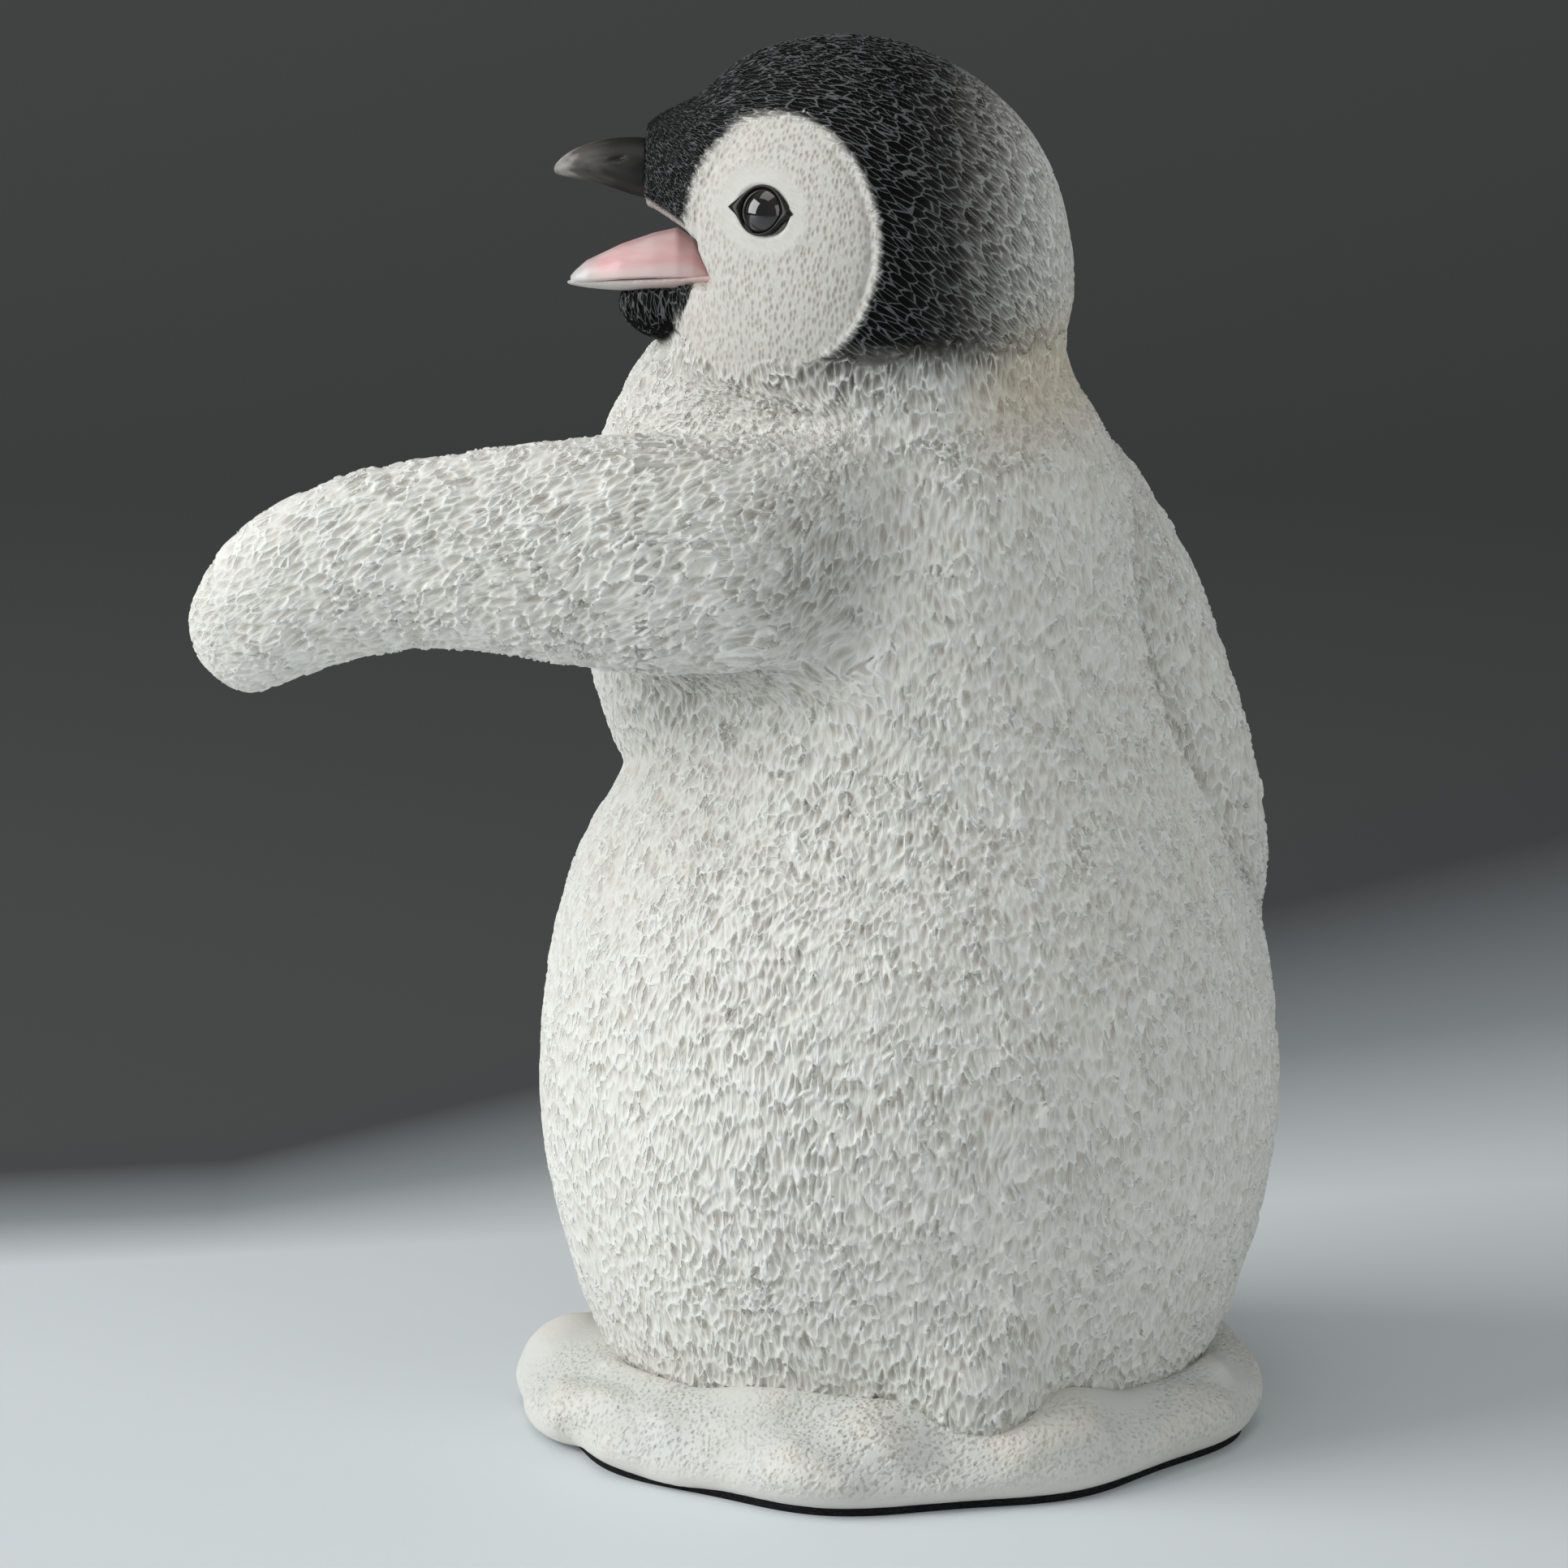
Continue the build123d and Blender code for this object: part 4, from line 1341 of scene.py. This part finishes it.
class CarvedDown:
    """Scoops of the down as the paint sees them, from the same cells as the relief."""

    def __init__(self) -> None:
        """Builds the node group once."""
        self.group = bpy.data.node_groups.new("carved_down", "ShaderNodeTree")
        face = self.group.interface
        face.new_socket("Flow", in_out="INPUT", socket_type="NodeSocketVector")
        face.new_socket("Calm", in_out="INPUT", socket_type="NodeSocketFloat")
        face.new_socket("Broken", in_out="INPUT", socket_type="NodeSocketFloat")
        face.new_socket("Pile", in_out="OUTPUT", socket_type="NodeSocketFloat")
        wiring = Wiring(self.group)
        given = wiring.add("NodeGroupInput")
        flow = given.outputs["Flow"]
        own = wiring.add("ShaderNodeTexVoronoi", {"Vector": flow, "Scale": 1.0})
        edge = wiring.add("ShaderNodeTexVoronoi", {"Vector": flow, "Scale": 1.0}, feature="DISTANCE_TO_EDGE")
        chance = wiring.add("ShaderNodeSeparateColor", {"Color": own.outputs["Color"]}).outputs["Green"]
        here = wiring.add("ShaderNodeSeparateXYZ", {"Vector": flow}).outputs["Z"]
        middle = wiring.add("ShaderNodeSeparateXYZ", {"Vector": own.outputs["Position"]}).outputs["Z"]
        along = wiring.maths("SUBTRACT", here, middle)
        profile = Carving()
        ridge = wiring.eased(edge.outputs["Distance"], profile.ridge, profile.crest)
        unworn = wiring.span(given.outputs["Broken"], 0.0, 1.0, 1.0, 1.0 - profile.wear)
        wall = wiring.maths("MULTIPLY", ridge, unworn)
        level = wiring.span(chance, 0.0, 1.0, profile.floor, profile.floor + profile.uneven)
        near_ridge = wiring.eased(edge.outputs["Distance"], profile.bowl_width, 0.0)
        bowl = wiring.maths("MULTIPLY", near_ridge, profile.bowl)
        ramp = wiring.maths("MULTIPLY", wiring.eased(along, profile.low_end, profile.high_end), profile.tilt)
        scoop = wiring.maths("MAXIMUM", wall, wiring.maths("ADD", level, wiring.maths("ADD", bowl, ramp)))
        fine = wiring.stretched(flow, (2.3, 2.3, 0.9))
        hair = wiring.add("ShaderNodeTexVoronoi", {"Vector": fine, "Scale": 1.0}, feature="DISTANCE_TO_EDGE")
        strand = wiring.span(hair.outputs["Distance"], 0.0, 0.3, 0.12, -0.06)
        pile = wiring.maths("ADD", scoop, strand)
        calm = wiring.add("ShaderNodeMix", {"Factor": given.outputs["Calm"], "A": 0.4, "B": pile})
        result = wiring.add("NodeGroupOutput")
        wiring.join(calm.outputs["Result"], result, "Pile")

    def place(self, wiring: Wiring) -> Socket:
        """Places the group in a material and returns the height of the down."""
        node = wiring.add("ShaderNodeGroup", node_tree=self.group)
        flow = wiring.add("ShaderNodeAttribute", attribute_name=Mask.FLOW.value).outputs["Vector"]
        wiring.join(flow, node, "Flow")
        wiring.join(wiring.mask(Mask.SEAM), node, "Calm")
        wiring.join(wiring.mask(Mask.BROKEN), node, "Broken")
        return node.outputs["Pile"]


class Paints:
    """Materials of the figurine, by slot."""

    def __init__(self) -> None:
        """Builds every material."""
        self.grain = Grain()
        self.down = CarvedDown()
        self.by_slot: dict[Slot, bpy.types.Material] = {
            Slot.DOWN: self.plumage(Finish("painted_down", 0.6, specular=0.4)),
            Slot.HOOD: self.plumage(Finish("painted_hood", 0.65, specular=0.08)),
            Slot.BILL: self.bill(Finish("painted_bill", 0.48, specular=0.35)),
            Slot.MOUTH: self.mouth(Finish("painted_mouth", 0.3)),
            Slot.EYE: self.eye(Finish("glass_eye", 0.04, coat=1.0)),
            Slot.FOOT: self.foot(Finish("painted_foot", 0.4)),
            Slot.SNOW: self.snow(Finish("painted_snow", 0.6)),
            Slot.FELT: self.felt(Finish("black_felt", 0.95, specular=0.1)),
            Slot.STEEL: self.steel(Finish("drawn_steel", 0.3, metallic=1.0)),
            Slot.PLUG: self.plug(Finish("moulded_plug", 0.7)),
        }
        self.lid = self.lid_paint(Finish("painted_lid", 0.35, specular=0.3))

    def bump(self, wiring: Wiring, shader: bpy.types.Node, height: Socket, strength: float,
             distance: float) -> None:
        """Roughens a shader by a height.

        Args:
            wiring: Wiring of the material.
            shader: Shader to roughen.
            height: Height from 0 to 1.
            strength: Strength from 0 to 1.
            distance: Full height in metres.
        """
        node = wiring.add("ShaderNodeBump", {"Height": height, "Strength": strength, "Distance": distance})
        wiring.join(node.outputs["Normal"], shader, "Normal")

    def plumage(self, finish: Finish) -> bpy.types.Material:
        """Pale down, beige in its scoops (partly its paint, partly painted shade), darkened by painted shade
        in its creases, and a charcoal hood with brushed ridges.
        """
        material, wiring, shader, where = finish.start()
        grain = self.grain.place(wiring, where, 1600.0)
        pile = self.down.place(wiring)
        dark = wiring.mask(Mask.HOOD)
        spread = wiring.maths("MULTIPLY", dark, wiring.span(dark, 0.0, 1.0, 2.2, 0.0))
        brushed = wiring.maths("MULTIPLY", spread, wiring.maths("SUBTRACT", 0.42, pile))
        hood = wiring.maths("ADD", dark, brushed)
        lid = wiring.mask(Mask.LID)
        face = wiring.maths("MULTIPLY", wiring.mask(Mask.FACE), lid)
        longer = wiring.stretched(where, (1.0, 1.0, 0.55))
        fleck = wiring.add("ShaderNodeTexVoronoi", {"Vector": longer, "Scale": 1400.0})
        pit = wiring.maths("MULTIPLY", face, wiring.span(fleck.outputs["Distance"], 0.1, 0.6, 1.0, 0.0))
        # The beige towards the scoops' floors is partly the down's paint and partly painted shade in the
        # scoops.
        down = wiring.ramp(pile, ((0.1, (0.53, 0.495, 0.43)), (0.35, (0.68, 0.66, 0.60)),
                                  (0.6, (0.775, 0.77, 0.72)), (1.0, (0.85, 0.855, 0.81))))
        plain = wiring.mix(wiring.span(wiring.mask(Mask.FACE), 0.0, 1.0, 0.0, 0.85), down, (0.60, 0.59, 0.55))
        tint = wiring.span(grain.outputs["Patches"], 0.35, 0.7, 0.0, 0.5)
        tinted = wiring.mix(tint, plain, (0.95, 0.96, 0.965), "MULTIPLY")
        flecked = wiring.mix(wiring.span(pit, 0.0, 1.0, 0.0, 0.6), tinted, (0.40, 0.345, 0.275))
        warmth = wiring.span(wiring.mask(Mask.WARM), 0.0, 1.0, 0.0, 0.75)
        warmed = wiring.mix(warmth, flecked, (0.95, 0.86, 0.68), "MULTIPLY")
        # Painted shade: where the shade mask lies the down is darkened, the scoops more than the ridges.
        shade_share = wiring.maths("MULTIPLY", wiring.mask(Mask.SHADE), wiring.span(pile, 0.2, 0.9, 1.0, 0.3))
        shaded = wiring.mix(shade_share, warmed, (0.34, 0.325, 0.31), "MULTIPLY")
        charcoal = wiring.ramp(pile, ((0.3, (0.002, 0.002, 0.002)), (0.68, (0.004, 0.004, 0.004)),
                                      (0.86, (0.018, 0.018, 0.018)), (1.0, (0.11, 0.113, 0.116))))
        hooded = wiring.mix(hood, shaded, charcoal)
        gape = wiring.span(wiring.mask(Mask.GAPE), 0.0, 1.0, 0.0, 0.85)
        colour = wiring.mix(gape, hooded, (0.55, 0.46, 0.43))
        wiring.join(colour, shader, "Base Color")
        rough = wiring.maths("MULTIPLY", lid, wiring.span(face, 0.0, 1.0, 1.0, 0.15))
        calmed = wiring.maths("MULTIPLY", pile, rough)
        sunk = wiring.maths("SUBTRACT", calmed, wiring.span(pit, 0.0, 1.0, 0.0, 0.8))
        height = wiring.maths("ADD", sunk, wiring.span(grain.outputs["Height"], 0.0, 1.0, 0.0, 0.25))
        self.bump(wiring, shader, height, 0.9, 0.26 * MM)
        return material

    def bill(self, finish: Finish) -> bpy.types.Material:
        """Black at the root of the upper bill, paling towards the tip and on the lower bill."""
        material, wiring, shader, where = finish.start()
        grain = self.grain.place(wiring, where, 2200.0)
        parts = wiring.add("ShaderNodeSeparateXYZ", {"Vector": where})
        streaks = wiring.noise(wiring.stretched(where, (0.25, 1.0, 1.0)), 700.0)
        reach = wiring.maths("ADD", parts.outputs["X"], wiring.span(streaks, 0.3, 0.7, -0.002, 0.002))
        upper = wiring.ramp(wiring.span(reach, 0.039, 0.055, 0.0, 1.0),
                            ((0.0, (0.006, 0.0055, 0.005)), (0.3, (0.013, 0.012, 0.010)),
                             (0.65, (0.085, 0.078, 0.07)), (0.9, (0.33, 0.315, 0.295))))
        lower = wiring.ramp(wiring.span(reach, 0.030, 0.052, 0.0, 1.0),
                            ((0.0, (0.74, 0.54, 0.52)), (0.5, (0.70, 0.63, 0.60)),
                             (1.0, (0.52, 0.515, 0.50))))
        colour = wiring.mix(wiring.span(parts.outputs["Z"], 0.197, 0.199, 0.0, 1.0), lower, upper)
        wiring.join(colour, shader, "Base Color")
        self.bump(wiring, shader, grain.outputs["Height"], 0.12, 0.1 * MM)
        return material

    def mouth(self, finish: Finish) -> bpy.types.Material:
        """Pink, deeper along the middle, with a pale lip and a pale tip."""
        material, wiring, shader, where = finish.start()
        grain = self.grain.place(wiring, where, 1500.0)
        streaks = wiring.ramp(wiring.noise(wiring.stretched(where, (0.2, 1.0, 1.0)), 420.0),
                              ((0.3, (0.76, 0.42, 0.42)), (0.55, (0.80, 0.545, 0.535)),
                               (0.75, (0.82, 0.66, 0.64))))
        low = wiring.span(wiring.mask(Mask.RING), 0.12, 0.4, 0.85, 0.0)
        lip = wiring.mix(low, streaks, (0.82, 0.66, 0.64))
        parts = wiring.add("ShaderNodeSeparateXYZ", {"Vector": where})
        tip = wiring.span(parts.outputs["X"], 0.0455, 0.0495, 0.0, 1.0)
        colour = wiring.mix(tip, lip, (0.60, 0.585, 0.565))
        wiring.join(colour, shader, "Base Color")
        self.bump(wiring, shader, grain.outputs["Height"], 0.15, 0.15 * MM)
        return material

    def eye(self, finish: Finish) -> bpy.types.Material:
        """Dark glass with a brown iris round a black pupil."""
        material, wiring, shader, where = finish.start()
        fibres = wiring.noise(where, 1800.0)
        ring = wiring.maths("ADD", wiring.mask(Mask.RING), wiring.span(fibres, 0.3, 0.7, -0.04, 0.04))
        colour = wiring.ramp(ring, ((0.0, (0.002, 0.002, 0.002)), (0.5, (0.003, 0.003, 0.003)),
                                    (0.6, (0.008, 0.006, 0.004)), (0.8, (0.014, 0.010, 0.008)),
                                    (1.0, (0.008, 0.006, 0.005))))
        wiring.join(colour, shader, "Base Color")
        return material

    def lid_paint(self, finish: Finish) -> bpy.types.Material:
        """Black satin paint of the lids."""
        material, wiring, shader, where = finish.start()
        grain = self.grain.place(wiring, where, 2600.0)
        colour = wiring.ramp(grain.outputs["Height"], ((0.3, (0.004, 0.004, 0.004)),
                                                       (0.8, (0.014, 0.013, 0.012))))
        wiring.join(colour, shader, "Base Color")
        self.bump(wiring, shader, grain.outputs["Height"], 0.2, 0.1 * MM)
        return material

    def foot(self, finish: Finish) -> bpy.types.Material:
        """Dark grey scales with black between them."""
        material, wiring, shader, where = finish.start()
        grain = self.grain.place(wiring, where, 1800.0)
        colour = wiring.ramp(wiring.mask(Mask.PILE), ((0.0, (0.008, 0.008, 0.009)),
                                                      (0.6, (0.045, 0.045, 0.048)),
                                                      (1.0, (0.12, 0.12, 0.125))))
        wiring.join(colour, shader, "Base Color")
        self.bump(wiring, shader, grain.outputs["Height"], 0.2, 0.15 * MM)
        return material

    def snow(self, finish: Finish) -> bpy.types.Material:
        """Off-white snow with beige pores and pale blue painted shade in its hollows."""
        material, wiring, shader, where = finish.start()
        grain = self.grain.place(wiring, where, 900.0)
        holes = wiring.add("ShaderNodeTexVoronoi", {"Vector": where, "Scale": 1150.0})
        round_hole = wiring.ramp(holes.outputs["Distance"], ((0.1, (1.0, 1.0, 1.0)), (0.42, (0.0, 0.0, 0.0))))
        hole = wiring.mix(wiring.mask(Mask.POROUS), (0.0, 0.0, 0.0), round_hole)
        open_pores = wiring.ramp(wiring.mask(Mask.PILE), ((0.0, (0.59, 0.56, 0.50)),
                                                          (0.5, (0.66, 0.645, 0.595)),
                                                          (1.0, (0.70, 0.695, 0.65))))
        speck = wiring.mix(hole, (0.0, 0.0, 0.0), (0.5, 0.5, 0.5))
        specked = wiring.mix(speck, open_pores, (0.47, 0.45, 0.40))
        # Painted shade: the hollows between the puffs are tinted pale blue and darker.
        hollow = wiring.span(wiring.mask(Mask.HOLLOW), 0.0, 1.0, 0.0, 0.6)
        blue_shade = wiring.mix(hollow, specked, (0.90, 0.96, 0.99), "MULTIPLY")
        tint = wiring.span(grain.outputs["Patches"], 0.4, 0.7, 0.0, 0.6)
        colour = wiring.mix(tint, blue_shade, (0.98, 0.955, 0.92), "MULTIPLY")
        wiring.join(colour, shader, "Base Color")
        raised = wiring.span(grain.outputs["Height"], 0.0, 1.0, 0.0, 0.5)
        height = wiring.maths("SUBTRACT", raised, wiring.span(hole, 0.0, 1.0, 0.0, 1.0))
        self.bump(wiring, shader, height, 0.6, 0.45 * MM)
        return material

    def felt(self, finish: Finish) -> bpy.types.Material:
        """Short black pile with lighter fibres."""
        material, wiring, shader, where = finish.start()
        fibres = wiring.noise(wiring.stretched(where, (1.0, 1.0, 3.0)), 1400.0, 5.0)
        colour = wiring.ramp(fibres, ((0.3, (0.006, 0.006, 0.007)), (0.6, (0.018, 0.018, 0.02)),
                                      (0.8, (0.07, 0.07, 0.075))))
        wiring.join(colour, shader, "Base Color")
        self.bump(wiring, shader, fibres, 0.8, 0.4 * MM)
        return material

    def steel(self, finish: Finish) -> bpy.types.Material:
        """Drawn steel with fine lines."""
        material, wiring, shader, where = finish.start()
        lines = wiring.noise(where, 2500.0)
        colour = wiring.ramp(lines, ((0.3, (0.42, 0.42, 0.44)), (0.7, (0.64, 0.64, 0.66))))
        wiring.join(colour, shader, "Base Color")
        wiring.join(wiring.span(lines, 0.3, 0.7, 0.22, 0.4), shader, "Roughness")
        return material

    def plug(self, finish: Finish) -> bpy.types.Material:
        """Dark moulded rubber."""
        material, wiring, shader, where = finish.start()
        grain = self.grain.place(wiring, where, 1200.0)
        colour = wiring.ramp(grain.outputs["Height"], ((0.3, (0.012, 0.012, 0.012)),
                                                       (0.7, (0.03, 0.03, 0.03))))
        wiring.join(colour, shader, "Base Color")
        self.bump(wiring, shader, grain.outputs["Height"], 0.3, 0.2 * MM)
        return material


@dataclass
class Studio:
    """Floor, backdrop, lamps and camera.

    Attributes:
        target: Point that camera and lamps look at.
        distance: Distance of the camera from it.
        elevation: Height of the camera above it, in degrees.
        lens: Focal length in millimetres.
        sensor: Width of the sensor in millimetres.
        sky_colour: Colour of the light from all round.
        sky_strength: Strength of that light.
        half_width: Half width of floor and backdrop.
        floor_front: End of the floor beneath the camera.
        floor_back: Where the floor starts to bend up.
        bend_radius: Radius of the bend.
        bend_steps: Facets of the bend.
        wall_top: Height of the backdrop.
        shadow_slope: Slant of the line where the floor starts to darken.
        shadow_start: Where that line crosses the middle.
    """

    target: Triple = (0.0166, 0.0, 0.1056)
    distance: float = 1.2
    elevation: float = 12.0
    lens: float = 168.4
    sensor: float = 36.0
    sky_colour: Colour = (0.97, 0.99, 1.0)
    sky_strength: float = 0.21
    half_width: float = 3.0
    floor_front: float = 2.5
    floor_back: float = -0.9
    bend_radius: float = 0.6
    bend_steps: int = 16
    wall_top: float = 2.5
    shadow_slope: float = 0.2
    shadow_start: float = -0.115

    def build(self) -> None:
        """Sets up the studio."""
        self.camera()
        self.sweep()
        self.lamp("key", place=(1.42, 0.33, 0.78), size=(1.2, 1.3), power=24.0)
        self.lamp("fill", place=(-1.1, 1.0, 0.6), size=(0.9, 1.2), power=4.8)
        self.lamp("top", place=(0.1, 0.1, 1.5), size=(1.0, 1.0), power=4.5)
        world = bpy.context.scene.world or bpy.data.worlds.new("world")
        bpy.context.scene.world = world
        world.use_nodes = True
        sky = world.node_tree.nodes["Background"]
        sky.inputs["Color"].default_value = (*self.sky_colour, 1.0)
        sky.inputs["Strength"].default_value = self.sky_strength
        bpy.context.scene.view_settings.view_transform = "Standard"

    def camera(self) -> None:
        """Places the camera behind the figure."""
        data = bpy.data.cameras.new("camera")
        data.lens = self.lens
        data.sensor_width = self.sensor
        data.clip_start = 0.01
        camera = bpy.data.objects.new("camera", data)
        turn = math.radians(self.elevation)
        back = Vector((0.0, math.cos(turn), math.sin(turn)))
        camera.location = Vector(self.target) + self.distance * back
        camera.rotation_euler = back.to_track_quat("Z", "Y").to_euler()
        bpy.context.scene.collection.objects.link(camera)
        bpy.context.scene.camera = camera

    def sweep(self) -> None:
        """Pale floor that curves up into a dark grey backdrop, darkened past a slanted line by painted
        shadow, clear when seen from behind.
        """
        shape = bmesh.new()
        outline = [(self.floor_front, 0.0), (self.floor_back, 0.0)]
        for step in range(1, self.bend_steps + 1):
            turn = math.pi / 2 * step / self.bend_steps
            rise = self.bend_radius * (1 - math.cos(turn))
            outline.append((self.floor_back - self.bend_radius * math.sin(turn), rise))
        outline.append((self.floor_back - self.bend_radius, self.wall_top))
        verts = [shape.verts.new((-self.half_width, y, z)) for y, z in outline]
        edges = [shape.edges.new(pair) for pair in zip(verts, verts[1:])]
        grown = bmesh.ops.extrude_edge_only(shape, edges=edges)["geom"]
        moved = [item for item in grown if isinstance(item, bmesh.types.BMVert)]
        bmesh.ops.translate(shape, verts=moved, vec=(2 * self.half_width, 0.0, 0.0))
        shape.normal_update()
        shape.faces.ensure_lookup_table()
        if shape.faces[0].normal.z + shape.faces[0].normal.y < 0.0:
            bmesh.ops.reverse_faces(shape, faces=shape.faces)
        floor = MeshWork.placed(shape, "studio_floor")
        material, wiring, shader, where = Finish("studio_paper", 0.6).start()
        # Painted shadow: the floor darkens past a slanted, soft-edged line, running into the backdrop's own
        # dark grey.
        parts = wiring.add("ShaderNodeSeparateXYZ", {"Vector": where})
        width = wiring.span(parts.outputs["X"], -0.3, 0.12, 0.55, 0.09)
        line = {0: parts.outputs["X"], 1: self.shadow_slope, 2: self.shadow_start}
        start = wiring.add("ShaderNodeMath", line, operation="MULTIPLY_ADD").outputs[0]
        share = wiring.maths("DIVIDE", wiring.maths("SUBTRACT", start, parts.outputs["Y"]), width)
        colour = wiring.ramp(share, ((0.0, (0.745, 0.795, 0.82)), (0.35, (0.30, 0.325, 0.335)),
                                     (0.75, (0.068, 0.073, 0.075)), (1.0, (0.074, 0.078, 0.078))))
        wiring.join(colour, shader, "Base Color")
        behind = wiring.add("ShaderNodeNewGeometry").outputs["Backfacing"]
        clear = wiring.add("ShaderNodeBsdfTransparent").outputs[0]
        sheet = wiring.add("ShaderNodeMixShader", {0: behind, 1: shader.outputs[0], 2: clear}).outputs[0]
        result = next(node for node in wiring.tree.nodes if node.type == "OUTPUT_MATERIAL")
        wiring.join(sheet, result, "Surface")
        floor.data.materials.append(material)

    def lamp(self, name: str, place: Triple, size: Pair, power: float) -> None:
        """Adds a soft box that points at the figure.

        Args:
            name: Name of the lamp.
            place: Where it hangs.
            size: Width and height of the box.
            power: Power in watts.
        """
        data = bpy.data.lights.new(name, "AREA")
        data.shape = "RECTANGLE"
        data.size, data.size_y = size
        data.energy = power
        lamp = bpy.data.objects.new(name, data)
        lamp.location = place
        lamp.rotation_euler = (Vector(place) - Vector(self.target)).to_track_quat("Z", "Y").to_euler()
        bpy.context.scene.collection.objects.link(lamp)


def dress(piece: bpy.types.Object, slot: Slot, paint: bpy.types.Material, *nodes: str) -> None:
    """Paints a piece, lets it ride on the figure and hides the solids that it stands for.

    Args:
        piece: Finished piece.
        slot: Slot of the record; not used.
        paint: Material.
        nodes: Names of the solids that it replaces.
    """
    piece.data.materials.clear()
    piece.data.materials.append(paint)
    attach(piece, BODY)
    if nodes:
        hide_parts(*nodes)
    LOG.info("%s: %d faces", piece.name, len(piece.data.polygons))


def main() -> None:
    """Builds the figurine's pieces in order."""
    logging.basicConfig(level=logging.INFO, format="%(name)s: %(message)s")
    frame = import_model()
    nodes: Nodes = frame["nodes"]
    Studio().build()
    paints = Paints()

    plumage = Plumage()
    pieces = plumage.part(plumage.skin(nodes))
    for name, piece in pieces.items():
        if name == "head_down":
            dress(piece, Slot.HOOD, paints.by_slot[Slot.HOOD], "head")
        else:
            node = name.removesuffix("_down") if "flipper" in name else "torso"
            dress(piece, Slot.DOWN, paints.by_slot[Slot.DOWN], node)

    eyes = Eyes()
    for side in ("left", "right"):
        dress(eyes.glass(nodes[side + "_eye"], side + "_eye_glass"), Slot.EYE, paints.by_slot[Slot.EYE],
              side + "_eye")
        dress(eyes.lids(nodes[side + "_eye"], side + "_eye_lids"), Slot.HOOD, paints.lid)
    bill = Bill()
    upper = bill.build(nodes, "upper_bill")
    bill.nostrils(upper)
    dress(upper, Slot.BILL, paints.by_slot[Slot.BILL], "upper_bill")
    dress(bill.build(nodes, "lower_bill"), Slot.BILL, paints.by_slot[Slot.BILL], "lower_bill")
    dress(bill.tongue(), Slot.MOUTH, paints.by_slot[Slot.MOUTH], "tongue")
    for side in ("left", "right"):
        dress(Feet().build(nodes, side + "_foot"), Slot.FOOT, paints.by_slot[Slot.FOOT], side + "_foot")
    dress(SnowBase().build(nodes), Slot.SNOW, paints.by_slot[Slot.SNOW], "snow_base")

    solids = {"felt_pad": Slot.FELT, "left_flipper_pin": Slot.STEEL, "right_flipper_pin": Slot.STEEL,
              "base_pins": Slot.STEEL, "fill_plug": Slot.PLUG}
    for node, slot in solids.items():
        nodes[node].data.materials.clear()
        nodes[node].data.materials.append(paints.by_slot[slot])
        LOG.info("%s: solid kept", node)


if __name__ == "__main__":
    main()
